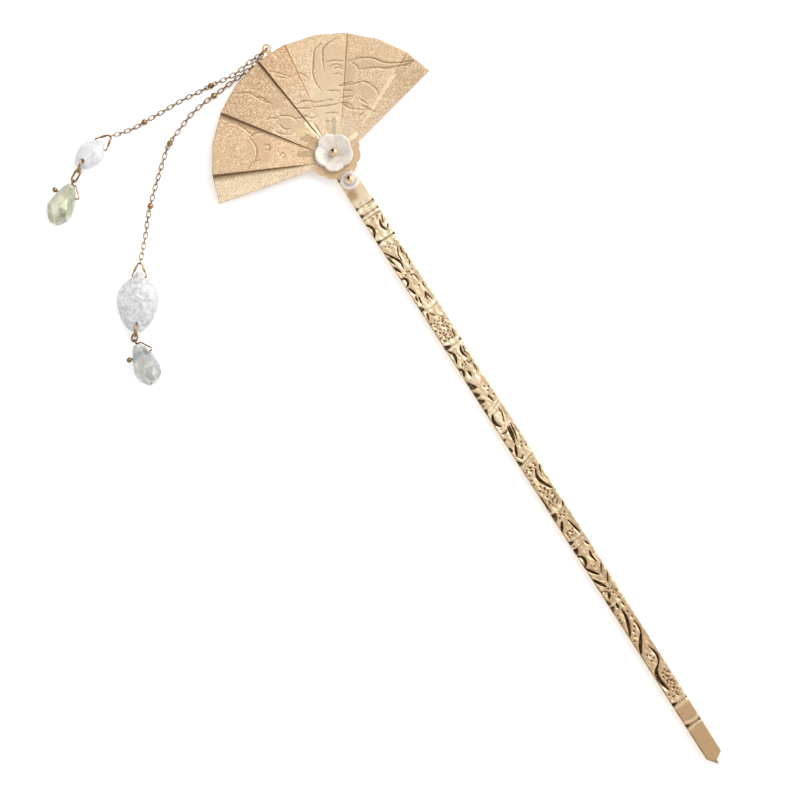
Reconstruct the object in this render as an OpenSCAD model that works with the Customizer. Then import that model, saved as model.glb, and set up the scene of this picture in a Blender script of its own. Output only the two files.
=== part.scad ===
// Hair stick with a pleated fan head, a shell flower and two hanging chains, lying on its back.
// Origin: centre of the fan's arc on the back of the stick. +Y runs to the top of the fan,
// the stick runs to -Y, +Z is up off the surface that it lies on.

/* [Stick] */
// Distance from the fan's centre to the tip of the stick
stick_len = 156.7; // [120:0.1:200]
// Length of stick hidden behind the fan, past the fan's centre
stick_tail = 5.2; // [3.5:0.1:6]
// Width of the stick at the fan
stick_w_top = 4.7; // [4:0.1:7]
// Width of the stick where its point starts
stick_w_tip = 3.8; // [2.5:0.1:5]
// Thickness of the stick
stick_t = 2.2; // [1.6:0.1:4]
// Length of the bevelled point
point_len = 2.2; // [1:0.1:5]
// Width of the blunt end of the point
point_w = 0.7; // [0.3:0.1:2]
// Depth of the carved crescents and of the notches at the edges
carve_deep = 0.6; // [0.2:0.05:1]
// Depth of the carved leaves and curls
carve_mid = 0.4; // [0.1:0.05:0.8]
// Depth of the punched dots and the grooves across
carve_fine = 0.25; // [0.1:0.05:0.6]
// Diameter of a small punched dot
dot_d = 0.26; // [0.2:0.02:0.4]
// Distance between small punched dots
dot_pitch = 0.56; // [0.5:0.02:1]
// Diameter of a large punched dot
pit_d = 0.4; // [0.3:0.02:0.6]
// Width of a groove across the stick
groove_w = 0.2; // [0.14:0.02:0.5]

/* [Fan] */
// Radius of the fan's rim
fan_r = 28; // [22:0.5:40]
// Angle from the middle of the fan to each straight edge
fan_half = 77.5; // [60:0.5:88]
// Thickness of the pressed sheet
fan_t = 0.45; // [0.3:0.05:0.8]
// Height of the middle pleat at the rim over the hub
fan_lift = 1.5; // [0.6:0.1:4]
// Distance that the fan and the flower sit to one side of the stick's middle
head_x = 0.35; // [-0.8:0.05:0.8]
// Distance from the fan's centre up to the flower's pin
flower_y = 2.1; // [1:0.1:4]
// Radius of the scalloped plate under the flower
hub_r = 5.9; // [5.2:0.1:7]
// Number of scallops around the plate
hub_lobes = 12; // [10:1:24]
// Direction of the plate's first scallop
hub_turn = 20; // [0:1:45]
// Outer diameter of the eye at the top of the fan
eye_d = 2; // [1.6:0.05:3]
// Diameter of the hole in the eye
eye_hole = 1.15; // [0.9:0.05:1.5]
// Distance of the eye's centre beyond the rim
eye_out = 1.2; // [1:0.1:2]
// Width of the neck that carries the eye
eye_neck = 1.1; // [0.6:0.1:2]

/* [Flower and small bead] */
// Diameter of the shell flower
flower_d = 9; // [7:0.1:11]
// Number of petals
petals = 5; // [4:1:8]
// Thickness of the shell
flower_t = 0.7; // [0.4:0.1:1.5]
// Height of the petal tips over the middle of the flower
flower_cup = 1; // [0.4:0.1:2]
// Diameter of the flower's flat seat
flower_seat_d = 3; // [2:0.1:4]
// Distance from the flower's pin down to the small bead's pin
bead_drop = 7.1; // [6.5:0.1:9]
// Diameter of the small bead
bead_d = 4.2; // [3:0.1:6]
// Height of the small bead
bead_h = 2.8; // [2:0.1:4]
// Diameter of the ball heads of both pins
head_d = 1.9; // [1.2:0.1:2.6]
// Diameter of the pins' shanks
pin_d = 0.6; // [0.4:0.05:0.8]
// Metal left under the blind pin holes
pin_floor = 0.6; // [0.3:0.1:1]

/* [Chains] */
// Length of a chain link
link_len = 1.8; // [1.6:0.05:3]
// Width of a chain link
link_w = 1.05; // [1:0.05:1.3]
// Diameter of a chain link's wire
link_wire = 0.22; // [0.18:0.02:0.24]
// Diameter of the balls in the chains
ball_d = 1.4; // [1.3:0.1:1.6]
// Length of chain that a ball takes up
ball_pitch = 2.5; // [2.4:0.1:2.6]
// Distance across the edge ring, to the middle of its wire
ring_d = 2.5; // [2.2:0.1:4]
// Diameter of the edge ring's wire
ring_wire = 0.36; // [0.3:0.02:0.36]
// Slope of the edge ring down from the eye
ring_slope = 35; // [20:1:50]
// Direction of the edge ring seen from above
ring_turn = 191; // [180:1:205]

/* [Leaf beads] */
// Length of the long chain's leaf bead
leaf_len = 13.2; // [11:0.1:18]
// Width of the long chain's leaf bead
leaf_w = 9.4; // [7:0.1:12]
// Thickness of the long chain's leaf bead
leaf_t = 4.2; // [3:0.1:5]
// Length of the short chain's leaf bead
small_leaf_len = 8; // [7.5:0.1:12]
// Width of the short chain's leaf bead
small_leaf_w = 5.8; // [4.5:0.1:9]
// Thickness of the short chain's leaf bead
small_leaf_t = 3.2; // [2.6:0.1:4.5]
// Distance from a leaf bead's tip to its upper hole
leaf_hole_top = 1.2; // [1:0.1:1.6]
// Distance from a leaf bead's lower end to its lower hole
leaf_hole_low = 1.7; // [1.4:0.1:1.8]
// Diameter of the upper hole
leaf_bore_top = 0.7; // [0.65:0.05:0.9]
// Diameter of the lower hole
leaf_bore_low = 1.1; // [0.9:0.05:1.2]
// Height of the pinch bail from its bar to its apex
bail_rise = 3.1; // [2.8:0.1:5]
// Diameter of the bail's wire
bail_wire = 0.34; // [0.3:0.02:0.36]
// Diameter of the bail's legs where they are thickest
bail_leg = 0.6; // [0.34:0.02:0.7]

/* [Drops] */
// Length of a glass drop
drop_len = 9.5; // [8:0.1:14]
// Width of a glass drop
drop_w = 6.2; // [5:0.1:8]
// Number of facets around a drop
drop_facets = 10; // [8:1:14]
// Distance from a drop's narrow end to the pin that crosses it
drop_hole = 2.3; // [1.8:0.1:3.5]
// Diameter of the hole that crosses a drop
drop_bore = 0.6; // [0.55:0.05:0.8]
// Diameter of the ball head on a drop's pin
drop_head_d = 1.2; // [1:0.1:2]
// Diameter of a drop pin's wire
drop_wire = 0.35; // [0.3:0.02:0.4]
// Distance across the loop of a drop pin, to the middle of its wire
loop_d = 1.2; // [1.2:0.05:1.8]
// Distance across a bead ring, to the middle of its wire
bead_ring_d = 3; // [2.9:0.1:3.6]
// Diameter of a bead ring's wire
bead_ring_wire = 0.45; // [0.3:0.01:0.46]
// Length of the oval link between the long chain's bead and drop
oval_len = 2.1; // [2.1:0.05:3.5]
// Length of the oval link between the short chain's bead and drop
small_oval_len = 3.3; // [2.4:0.05:3.5]
// Width of both oval links
oval_w = 1.6; // [1.55:0.05:2]

/* [Fits] */
// Clearance between pieces that rest on each other
gap = 0.05; // [0.03:0.01:0.15]
// Clearance of a pin in its hole, all round
pin_gap = 0.06; // [0.04:0.01:0.12]
// Clearance between linked wires and rings
link_gap = 0.12; // [0.11:0.01:0.16]

/* [Hidden] */
$fn = 32;

gold = "#e3c08c";
shell = "#f4ece4";
crackle = "#e8ecee";
glass = "#cdd6cc";
over = 0.5;

// Carving down the stick, charted on a stick 156.7 long and 4.25 wide with X across it and the
// distance down from the fan's centre. Strokes are rows of a depth, a width and their points.
// Wedges are filled outlines at the edges, fields are corners of punched ground.
chart_len = 156.7;
chart_w = 4.25;
WEDGES = [
    [[-2.8, 10.3], [-1.5, 11.05], [-2.8, 11.8]], [[2.8, 10.5], [1.8, 11.05], [2.8, 11.6]],
    [[-2.8, 12.2], [-1.3, 12.95], [-2.8, 13.7]], [[2.8, 12.4], [1.8, 12.95], [2.8, 13.5]],
    [[-2.8, 19.0], [-1.0, 19.75], [-2.8, 20.4]], [[2.8, 19.2], [1.6, 19.75], [2.8, 20.3]],
    [[-2.8, 36.0], [-1.6, 36.7], [-1.1, 37.6], [-2.8, 37.7]],
    [[-2.8, 46.3], [-0.4, 47.5], [-2.8, 47.9]], [[2.8, 46.6], [1.4, 47.2], [2.8, 47.8]],
    [[-2.8, 55.6], [-1.8, 56.0], [-0.5, 58.3], [-2.8, 58.0]],
    [[-2.8, 58.5], [-1.7, 58.9], [-0.8, 60.1], [-2.8, 60.1]],
    [[-2.8, 60.4], [-1.7, 60.7], [-0.6, 61.8], [-2.8, 61.7]],
    [[-2.8, 63.0], [-1.3, 63.5], [-1.8, 64.6], [-2.8, 64.9]],
    [[-2.8, 70.6], [-1.2, 71.3], [-2.8, 71.9]],
    [[-2.8, 76.2], [-1.8, 76.6], [-1.0, 77.8], [-2.8, 78.3]],
    [[-2.8, 90.6], [-0.8, 90.9], [-1.2, 92.2], [-2.8, 92.9]],
    [[-2.8, 97.5], [-0.7, 98.3], [-2.8, 98.9]],
    [[-2.8, 99.7], [-0.8, 100.0], [-1.3, 101.0], [-2.8, 101.3]],
    [[-2.8, 112.9], [-1.6, 113.2], [-1.1, 114.3], [-2.8, 114.5]],
    [[-2.8, 114.9], [-0.9, 115.0], [-1.4, 116.0], [-2.8, 116.3]],
    [[-2.8, 139.6], [-0.4, 140.45], [-2.8, 141.0]], [[2.8, 139.8], [1.5, 140.35], [2.8, 140.9]],
    [[-2.8, 145.2], [-0.7, 146.0], [-2.8, 146.8]], [[2.8, 145.4], [1.2, 146.0], [2.8, 146.6]]];
LINES = [11.05, 12.95, 14, 19.75, 146];
STROKES = [
    ["deep", 0.5, [[-2.1, 15.0], [-1.5, 15.9], [-1.3, 16.7], [-1.55, 17.6], [-2.1, 18.4]]],
    ["deep", 0.38, [[1.1, 15.6], [0.7, 16.5], [0.7, 17.3], [1.2, 18.4]]],
    ["mid", 0.26, [[2.0, 15.0], [1.6, 15.8], [1.5, 16.6]]],
    ["fine", 0.18, [[-0.6, 15.8], [-0.75, 16.8], [-0.6, 17.9]]],
    ["mid", 0.24, [[2.0, 17.2], [1.6, 18.2]]],
    ["deep", 0.42, [[-2.0, 22.4], [-1.2, 23.8], [-0.5, 25.0], [-0.1, 26.2], [-0.3, 27.5]]],
    ["deep", 0.32, [[-2.0, 23.6], [-1.75, 24.6], [-1.5, 25.8]]],
    ["deep", 0.42, [[-2.0, 26.2], [-1.6, 27.0], [-1.2, 28.1]]],
    ["mid", 0.28, [[1.3, 22.7], [0.7, 23.6], [0.35, 24.7], [0.4, 25.8]]],
    ["mid", 0.32, [[1.7, 22.9], [1.45, 24.0], [1.55, 25.0]]],
    ["fine", 0.2, [[0.9, 24.0], [0.95, 25.3], [0.7, 26.6]]],
    ["mid", 0.24, [[2.0, 24.9], [1.75, 25.6], [1.7, 26.3]]],
    ["mid", 0.24, [[1.8, 26.6], [1.3, 27.5]]],
    ["deep", 0.42, [[-2.0, 29.25], [-1.3, 29.5], [-1.0, 30.2], [-1.25, 30.95], [-1.95, 31.4]]],
    ["mid", 0.28, [[0.95, 29.6], [1.15, 30.6], [1.2, 31.5]]],
    ["deep", 0.46, [[-1.7, 31.8], [-1.35, 32.7], [-1.0, 33.7]]],
    ["mid", 0.26, [[1.7, 32.2], [1.5, 32.8], [1.65, 33.5]]],
    ["mid", 0.38, [[-1.3, 34.1], [-1.5, 34.7], [-1.5, 35.3]]],
    ["mid", 0.32, [[-0.75, 34.6], [-0.95, 35.4], [-1.0, 36.4]]],
    ["fine", 0.18, [[-0.2, 34.8], [-0.25, 35.6], [-0.2, 36.4]]],
    ["fine", 0.2, [[0.3, 34.7], [0.2, 35.5], [0.1, 36.4]]],
    ["mid", 0.22, [[0.75, 34.5], [0.65, 35.3], [0.65, 36.2]]],
    ["mid", 0.3, [[1.05, 34.1], [1.1, 35.1], [1.5, 36.4]]],
    ["fine", 0.26, [[-1.2, 37.8], [0.2, 38.1], [2.0, 37.6]]],
    ["mid", 0.44, [[-1.2, 38.6], [-1.45, 39.4], [-1.7, 40.2]]],
    ["mid", 0.28, [[-0.7, 38.8], [-0.35, 39.4], [0.1, 40.0]]],
    ["fine", 0.22, [[1.3, 38.8], [1.1, 39.8]]],
    ["mid", 0.26, [[1.7, 44.4], [1.4, 45.3], [1.55, 46.0]]],
    ["fine", 0.26, [[-0.4, 47.6], [0.6, 47.5], [1.5, 47.3]]],
    ["deep", 0.5, [[-1.8, 48.2], [-1.2, 49.2], [-1.15, 50.2], [-1.6, 51.5]]],
    ["deep", 0.38, [[1.15, 48.6], [0.75, 49.5], [0.75, 50.4], [1.15, 51.4]]],
    ["mid", 0.24, [[1.7, 48.8], [1.45, 50.0], [1.7, 51.4]]],
    ["fine", 0.18, [[-0.3, 48.8], [-0.4, 50.0], [-0.2, 51.2]]],
    ["deep", 0.46, [[-1.8, 52.7], [-1.35, 53.7], [-1.75, 54.8]]],
    ["deep", 0.42, [[-0.35, 54.2], [-0.3, 54.8], [-0.4, 55.5]]],
    ["mid", 0.28, [[1.4, 53.4], [1.5, 54.2], [1.3, 55.2]]],
    ["fine", 0.22, [[-0.4, 58.4], [0.4, 57.9], [1.7, 57.2]]],
    ["deep", 0.34, [[0.55, 60.9], [0.65, 61.8], [0.85, 62.7]]],
    ["fine", 0.24, [[-1.4, 64.8], [0.1, 64.0], [2.0, 63.1]]],
    ["deep", 0.54, [[-1.0, 65.2], [-1.5, 66.2], [-1.5, 67.3], [-0.8, 68.4]]],
    ["mid", 0.26, [[1.0, 64.4], [0.95, 66.1], [0.3, 67.9]]],
    ["fine", 0.22, [[1.6, 65.3], [1.25, 67.0], [0.7, 68.5]]],
    ["fine", 0.22, [[-1.7, 69.0], [-0.5, 68.9], [0.3, 68.3]]],
    ["mid", 0.24, [[-1.6, 69.8], [-0.7, 70.0], [-0.1, 69.6]]],
    ["deep", 0.34, [[0.4, 69.2], [0.15, 71.0], [-0.15, 73.2]]],
    ["mid", 0.26, [[0.85, 69.0], [0.6, 70.7], [0.25, 72.6]]],
    ["mid", 0.26, [[1.35, 68.8], [1.2, 70.5], [0.8, 72.4]]],
    ["fine", 0.22, [[1.8, 69.4], [1.65, 71.4], [1.3, 73.4]]],
    ["deep", 0.44, [[-0.3, 73.4], [-0.8, 74.6], [-1.4, 75.9]]],
    ["deep", 0.44, [[-1.8, 73.3], [-1.65, 74.4]]],
    ["mid", 0.28, [[-1.1, 76.2], [-0.6, 76.7], [0.0, 76.1]]],
    ["fine", 0.24, [[-0.9, 77.9], [0.4, 77.4], [2.0, 76.9]]],
    ["fine", 0.22, [[-1.7, 78.9], [0.2, 78.2], [2.0, 77.9]]],
    ["deep", 0.56, [[0.65, 80.4], [0.1, 81.5], [0.05, 82.7], [0.4, 83.8], [0.9, 84.7], [1.5, 85.7]]],
    ["mid", 0.28, [[1.9, 79.9], [1.5, 80.7], [1.35, 81.6]]],
    ["fine", 0.2, [[0.9, 81.4], [0.85, 82.6], [1.35, 84.3]]],
    ["fine", 0.2, [[1.5, 82.0], [1.4, 83.1], [1.75, 84.4]]],
    ["mid", 0.28, [[-1.6, 86.2], [-1.7, 88.2], [-1.5, 90.3]]],
    ["fine", 0.24, [[-0.7, 90.8], [0.4, 90.8], [1.4, 90.4]]],
    ["mid", 0.32, [[1.85, 89.4], [1.4, 90.5]]],
    ["deep", 0.46, [[-0.6, 93.1], [-1.2, 94.0], [-1.75, 95.1]]],
    ["deep", 0.36, [[0.7, 93.6], [1.0, 95.2], [1.25, 96.3], [1.4, 97.5]]],
    ["fine", 0.24, [[-1.1, 98.35], [0.6, 98.15], [1.9, 98.0]]],
    ["fine", 0.22, [[-0.8, 99.9], [0.4, 99.6], [1.3, 99.4]]],
    ["mid", 0.36, [[1.25, 99.4], [1.7, 100.6]]],
    ["deep", 0.48, [[-1.9, 101.5], [-1.1, 102.2], [-0.95, 103.1], [-1.2, 103.9], [-1.9, 104.5]]],
    ["deep", 0.36, [[1.1, 101.8], [0.8, 102.9], [1.05, 104.5]]],
    ["fine", 0.22, [[1.6, 102.1], [1.4, 103.2], [1.6, 104.4]]],
    ["deep", 0.48, [[-1.8, 104.8], [-1.0, 106.0], [0.0, 107.4]]],
    ["mid", 0.34, [[1.8, 105.4], [1.2, 106.4], [0.6, 107.4]]],
    ["fine", 0.2, [[-0.9, 105.2], [-0.3, 106.2], [0.3, 106.5], [1.0, 105.7]]],
    ["deep", 0.54, [[-1.8, 107.7], [-1.0, 109.1], [-0.1, 110.5]]],
    ["mid", 0.34, [[1.8, 107.9], [1.2, 109.0], [0.7, 110.0]]],
    ["fine", 0.2, [[-1.1, 107.7], [-0.2, 108.9], [0.4, 109.1], [1.1, 108.1]]],
    ["deep", 0.48, [[-0.45, 111.8], [-0.55, 112.5], [-0.95, 113.1]]],
    ["deep", 0.42, [[-0.2, 114.8], [-0.3, 116.0]]],
    ["mid", 0.28, [[1.0, 113.6], [1.05, 114.4]]],
    ["mid", 0.28, [[1.0, 115.1], [1.1, 116.2]]],
    ["deep", 0.52, [[0.15, 116.5], [0.05, 118.4], [-0.4, 120.0], [-0.95, 121.4], [-1.5, 122.6]]],
    ["mid", 0.32, [[1.1, 120.0], [1.25, 121.4], [1.15, 122.5], [0.75, 123.7]]],
    ["deep", 0.6, [[0.8, 123.3], [-0.2, 124.8], [-0.9, 125.8], [-1.5, 127.1]]],
    ["deep", 0.34, [[0.7, 126.5], [1.15, 127.8], [1.3, 129.2], [0.95, 130.4], [0.3, 131.2]]],
    ["deep", 0.64, [[0.3, 131.2], [-0.6, 131.9], [-1.1, 133.0], [-1.15, 134.5], [-0.9, 135.8],
        [-0.6, 137.1]]],
    ["fine", 0.24, [[-0.5, 140.45], [0.6, 140.4], [1.6, 140.35]]]];
PITS = [
    [-0.1, 28.5], [0.45, 28.7], [1.15, 28.6], [0.4, 29.6], [-0.7, 28.9], [0.6, 32.4],
    [-1.7, 41.1], [-1.2, 42.1], [1.1, 40.9], [0.8, 41.9], [0.3, 42.8], [0.95, 43.3], [-1.7, 42.9],
    [-1.1, 43.9], [-1.7, 44.9], [-0.6, 44.8], [-1.3, 45.8], [-0.3, 45.9], [0.6, 46.0],
    [0.7, 52.5], [-0.8, 52.4], [0.0, 52.1], [1.4, 52.6],
    [1.0, 60.1], [1.7, 61.5], [1.6, 59.4], [-1.7, 62.5], [0.8, 58.9],
    [0.7, 74.4], [1.6, 74.7], [1.1, 73.6], [0.95, 79.0], [-0.4, 79.4], [-0.3, 80.2], [-1.5, 79.9],
    [-1.4, 80.9], [-1.5, 82.0], [-1.5, 83.1], [-0.6, 84.2], [0.05, 84.9], [-1.3, 84.9], [-0.8, 85.7],
    [0.3, 85.9], [0.9, 86.8], [-0.5, 86.9], [0.9, 87.8], [0.8, 88.8], [0.1, 88.0], [-0.7, 88.4],
    [-0.7, 92.3], [-0.2, 91.7], [0.4, 92.2], [0.9, 91.7], [-1.1, 96.0], [-1.1, 97.0], [-0.4, 96.9],
    [-0.3, 95.9], [-1.4, 99.25], [-1.0, 111.3], [0.7, 111.4], [-1.6, 111.0], [0.0, 111.1], [0.5, 112.4],
    [1.3, 112.3], [-1.4, 117.3], [-1.5, 118.3], [-1.5, 119.2], [0.9, 117.6], [1.2, 119.0],
    [-0.6, 123.1], [-0.2, 122.1], [-1.3, 124.0], [0.4, 121.2], [-0.6, 128.0], [-0.1, 128.5],
    [-0.4, 129.6], [0.3, 129.3], [0.3, 133.2], [0.95, 132.7], [-0.1, 134.0], [0.6, 134.3],
    [0.1, 135.1], [0.8, 135.4], [1.35, 133.6], [1.3, 136.1], [0.5, 137.2], [-1.2, 138.0],
    [-0.6, 138.8], [0.5, 138.9]];
FIELDS = [
    [[-1.0, 14.5], [1.8, 15.0]], [[-1.3, 21.4], [1.5, 22.2]], [[-1.5, 40.7], [1.5, 46.1]],
    [[-0.9, 51.9], [1.5, 53.0]], [[-1.3, 79.0], [1.5, 80.4]], [[-1.0, 84.6], [1.3, 89.4]],
    [[-1.3, 95.6], [0.5, 97.2]], [[-0.5, 104.9], [0.5, 105.4]], [[-1.2, 111.1], [1.4, 112.0]],
    [[-0.1, 133.0], [1.4, 138.6]]];

// Right half of the fan's pleats, from the middle out. Columns: angle as a share of the half
// angle, height inside the line and height outside it as shares of the middle pleat's lift.
PLEATS = [
    [0.093, 1.00, 0.42],
    [0.279, 0.66, 0.66],
    [0.466, 0.88, 0.30],
    [0.650, 0.52, 0.52],
    [0.836, 0.72, 0.16],
    [1.000, 0.34, 0.34]];
// Angle that a riser between two pleats takes up
riser = 0.7;

// Leaf bead sections. Columns: place along, half width and half thickness as shares.
LEAF = [
    [0.00, 0.12, 0.18],
    [0.04, 0.19, 0.30],
    [0.09, 0.29, 0.42],
    [0.14, 0.49, 0.54],
    [0.22, 0.75, 0.72],
    [0.34, 0.94, 0.92],
    [0.46, 1.00, 1.00],
    [0.58, 0.97, 0.97],
    [0.70, 0.86, 0.82],
    [0.80, 0.76, 0.62],
    [0.89, 0.59, 0.38],
    [0.96, 0.40, 0.26],
    [1.00, 0.22, 0.18]];

// Drop sections. Columns: place along, radius as shares, turn in half facets.
belly = 0.64;
DROP = [
    [0.00, 0.30, 0],
    [0.08, 0.46, 0],
    [0.34, 0.82, 1],
    [belly, 1.00, 0],
    [0.82, 0.82, 1],
    [0.95, 0.48, 0],
    [1.00, 0.30, 0]];

eye_y = fan_r + eye_out;
// Chain routes from the edge ring to the bails, as chosen points: X, distance below the eye and
// height over the surface
LONG_ROUTE = [[-4.6, 1.2, 0.85], [-6.6, 1.4, 0.56], [-9.8, 1.6, 0.56], [-15.0, 2.1, 0.8],
    [-17.6, 2.2, 0.56], [-21.8, 2.9, 0.56], [-25.1, 4.1, 0.56], [-29.3, 5.8, 0.8],
    [-32.4, 8.2, 0.56], [-35.9, 11.2, 0.56], [-40.0, 15.0, 0.8], [-42.3, 17.4, 0.56],
    [-44.8, 20.4, 0.75]];
SHORT_ROUTE = [[-4.6, 0.3, 2.7], [-6.8, 0.6, 2.0], [-9.4, 0.7, 1.9], [-11.8, 0.3, 1.2],
    [-14.8, -0.2, 0.8], [-17.6, -0.4, 0.56], [-22.0, -0.9, 0.56], [-25.9, -1.0, 0.56],
    [-30.9, -1.2, 0.8], [-33.6, -1.3, 0.56], [-36.0, -1.7, 0.66]];
// Links before the first ball, links between balls, number of balls
LONG_PATTERN = [11, 10, 3];
SHORT_PATTERN = [10, 12, 2];
// Slopes at which the chains hang on the edge ring
long_hook = 62;
short_hook = 8;

// Where each hanging part lies: tip of the leaf bead as X and distance below the eye, its
// direction, then the directions of its ring, oval link and drop
LONG_LEAF_AT = [-49.8, eye_y - 26.2];
LONG_TURNS = [234.6, 230, 222, 262];
SHORT_LEAF_AT = [-41.1, eye_y + 2.2];
SHORT_TURNS = [190, 214, 209, 215];

// Heights
fan_z = stick_t + gap;
hub_top = fan_z + fan_t;
rim_z = hub_top + fan_lift;
eye_z = rim_z - fan_t / 2;
flower_z = hub_top + fan_lift * (flower_y + flower_seat_d / 2) / fan_r + gap;
bead_y = flower_y - bead_drop;
bead_z = hub_top + gap;
ring_c = [0, eye_y, eye_z] + (ring_d / 2 - 2 * gap) * along(ring_turn, -ring_slope);
stick_w = (stick_w_top + stick_w_tip) / 2;
link_reach = link_len / 2 - link_wire / 2;
link_pitch = link_len - 2 * link_wire - link_gap;

function along(turn, slope = 0) =
    [cos(turn) * cos(slope), sin(turn) * cos(slope), sin(slope)];
function half_w(y) = lookup(-y, [[0, stick_w_top], [stick_len - point_len, stick_w_tip]]) / 2;
function unit(v) = v / norm(v);

// Route: a smooth curve through chosen points, then its length so far at each point
function bend(p, q, r, s, t) = ((2 * q) + (r - p) * t + (2 * p - 5 * q + 4 * r - s) * t * t
    + (3 * q - p - 3 * r + s) * t * t * t) / 2;
function smooth(p, n = 6) = let(m = len(p) - 1) [
    for (i = [0 : m - 1], k = [0 : n - 1])
        bend(p[max(i - 1, 0)], p[i], p[i + 1], p[min(i + 2, m)], k / n),
    p[m]];
function run_to(p) = [for (i = 0, s = 0; i < len(p);
    s = s + (i + 1 < len(p) ? norm(p[i + 1] - p[i]) : 0), i = i + 1) s];
function at(s, runs, pts) = [for (k = [0 : 2])
    lookup(s, [for (i = [0 : len(pts) - 1]) [runs[i], pts[i][k]]])];

// Axes that turn local X along a direction, with local Y level, then rolled about X
function frame(c, d, roll) = let(
    x = unit(d),
    level = unit(cross([0, 0, 1], x)),
    up = cross(x, level),
    y = level * cos(roll) + up * sin(roll),
    z = up * cos(roll) - level * sin(roll))
    [[x[0], y[0], z[0], c[0]], [x[1], y[1], z[1], c[1]], [x[2], y[2], z[2], c[2]], [0, 0, 0, 1]];

module ring(d, wire) {
    rotate_extrude() translate([d / 2, 0]) circle(d = wire);
}

// A link lies in its own XY plane, long along X
module oval(length, width, wire) {
    bow = (width - wire) / 2;
    straight = length - width;
    for (side = [0, 180]) rotate([0, 0, side]) {
        translate([straight / 2, 0, 0]) rotate([0, 0, -90]) rotate_extrude(angle = 180)
            translate([bow, 0]) circle(d = wire);
        translate([-straight / 2, bow, 0]) rotate([0, 90, 0]) cylinder(d = wire, h = straight);
    }
}

// A ball with a soldered ring at each end
module chain_ball() {
    eye = (link_w - link_wire) / 2;
    sphere(d = ball_d);
    for (side = [-1, 1])
        translate([side * (ball_pitch / 2 - eye / 2), 0, 0]) ring(eye * 2, link_wire);
}

// Bent wire through a list of points that lie nearly level, joined up if closed. Its diameter
// is one number, or a list with one for each point.
module wire(p, d, closed = false) {
    sides = 10;
    n = len(p);
    points = [for (i = [0 : n - 1])
        let(before = closed ? p[(i + n - 1) % n] : p[max(i - 1, 0)],
            after = closed ? p[(i + 1) % n] : p[min(i + 1, n - 1)],
            forward = unit(after - before),
            level = unit(cross([0, 0, 1], forward)),
            up = cross(forward, level))
        for (k = [0 : sides - 1]) let(a = (k + 0.5) * 360 / sides)
            p[i] + (level * cos(a) + up * sin(a)) * (is_list(d) ? d[i] : d) / 2];
    polyhedron(points, closed ? wrap(n, sides) : skin(n, sides));
}

// Faces over rings of points: open with flat ends, or closed round on themselves
function band(a, b, sides) = [for (k = [0 : sides - 1], half = [0, 1])
    let(p = a * sides + k, q = a * sides + (k + 1) % sides,
        r = b * sides + k, t = b * sides + (k + 1) % sides)
    half == 0 ? [p, r, t] : [p, t, q]];
function wrap(rows, sides) = [for (i = [0 : rows - 1]) each band(i, (i + 1) % rows, sides)];
function skin(rows, sides) = concat(
    [[for (k = [0 : sides - 1]) k]],
    [for (i = [0 : rows - 2]) each band(i, i + 1, sides)],
    [[for (k = [sides - 1 : -1 : 0]) (rows - 1) * sides + k]]);

module chain(route, start, finish, pattern) {
    pts = smooth(concat([start], [for (p = route) [p[0], eye_y - p[1], p[2]]], [finish]));
    runs = run_to(pts);
    total = runs[len(runs) - 1];
    balls = pattern[2];
    count = 2 * ceil(((total - balls * ball_pitch) / link_pitch + balls) / 2);
    pitch = (total - balls * ball_pitch) / (count - balls);
    for (i = [0 : count - 1]) {
        past = i <= pattern[0] ? 0 : min(balls, floor((i - pattern[0] - 1) / (pattern[1] + 1)) + 1);
        is_ball = i >= pattern[0] && (i - pattern[0]) % (pattern[1] + 1) == 0 && past < balls;
        s = (i - past) * pitch + past * ball_pitch;
        a = at(s, runs, pts);
        b = at(s + (is_ball ? ball_pitch : pitch), runs, pts);
        multmatrix(frame((a + b) / 2, b - a, 90 * (i % 2)))
            if (is_ball) chain_ball();
            else oval(link_len, link_w, link_wire);
    }
}

module outline() {
    polygon([[-half_w(0), stick_tail - point_w], [-half_w(0) + point_w, stick_tail],
        [half_w(0) - point_w, stick_tail], [half_w(0), stick_tail - point_w], [half_w(0), 0],
        [stick_w_tip / 2, point_len - stick_len], [point_w / 2, -stick_len],
        [-point_w / 2, -stick_len], [-stick_w_tip / 2, point_len - stick_len], [-half_w(0), 0]]);
}

module sink(depth) {
    translate([0, 0, stick_t - depth]) linear_extrude(depth + over) children();
}

// From the chart to the stick
function mark(p) = [(p[0] - 0.1) * stick_w / chart_w, -p[1] * stick_len / chart_len];
function sunk_by(kind) = kind == "deep" ? carve_deep : kind == "mid" ? carve_mid : carve_fine;

// One side of a stroke that is thin at its ends
function flank_of(q, width, side) = let(n = len(q) - 1) [for (i = [0 : n])
    let(t = unit(q[min(i + 1, n)] - q[max(i - 1, 0)]))
    q[i] + side * [-t[1], t[0]] * width / 2 * (0.3 + 0.7 * sin(180 * i / n))];
function stroke_outline(points, width) = let(q = smooth([for (p = points) mark(p)], 4),
    left = flank_of(q, width, 1), right = flank_of(q, width, -1), n = len(q) - 1)
    concat(left, [for (i = [0 : n]) right[n - i]]);

// Punched ground between two corners, every other row set over by half
module field(a, b) {
    columns = max(1, floor((b[0] - a[0]) / dot_pitch));
    rows = max(1, floor((b[1] - a[1]) / dot_pitch));
    sink(carve_fine) for (r = [0 : rows], c = [0 : columns - 1])
        translate(mark([a[0] + (c + (r % 2 == 0 ? 0.25 : 0.75)) * (b[0] - a[0]) / columns,
            a[1] + r * (b[1] - a[1]) / rows])) circle(d = dot_d);
}

module carving() {
    for (outline = WEDGES) sink(carve_deep) polygon([for (p = outline) mark(p)]);
    for (y = LINES) sink(carve_fine) translate(mark([0, y])) square([2 * stick_w, groove_w], center = true);
    for (row = STROKES) sink(sunk_by(row[0])) polygon(stroke_outline(row[2], row[1]));
    for (p = PITS) sink(carve_mid) translate(mark(p)) circle(d = pit_d);
    for (f = FIELDS) field(f[0], f[1]);
}

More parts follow.
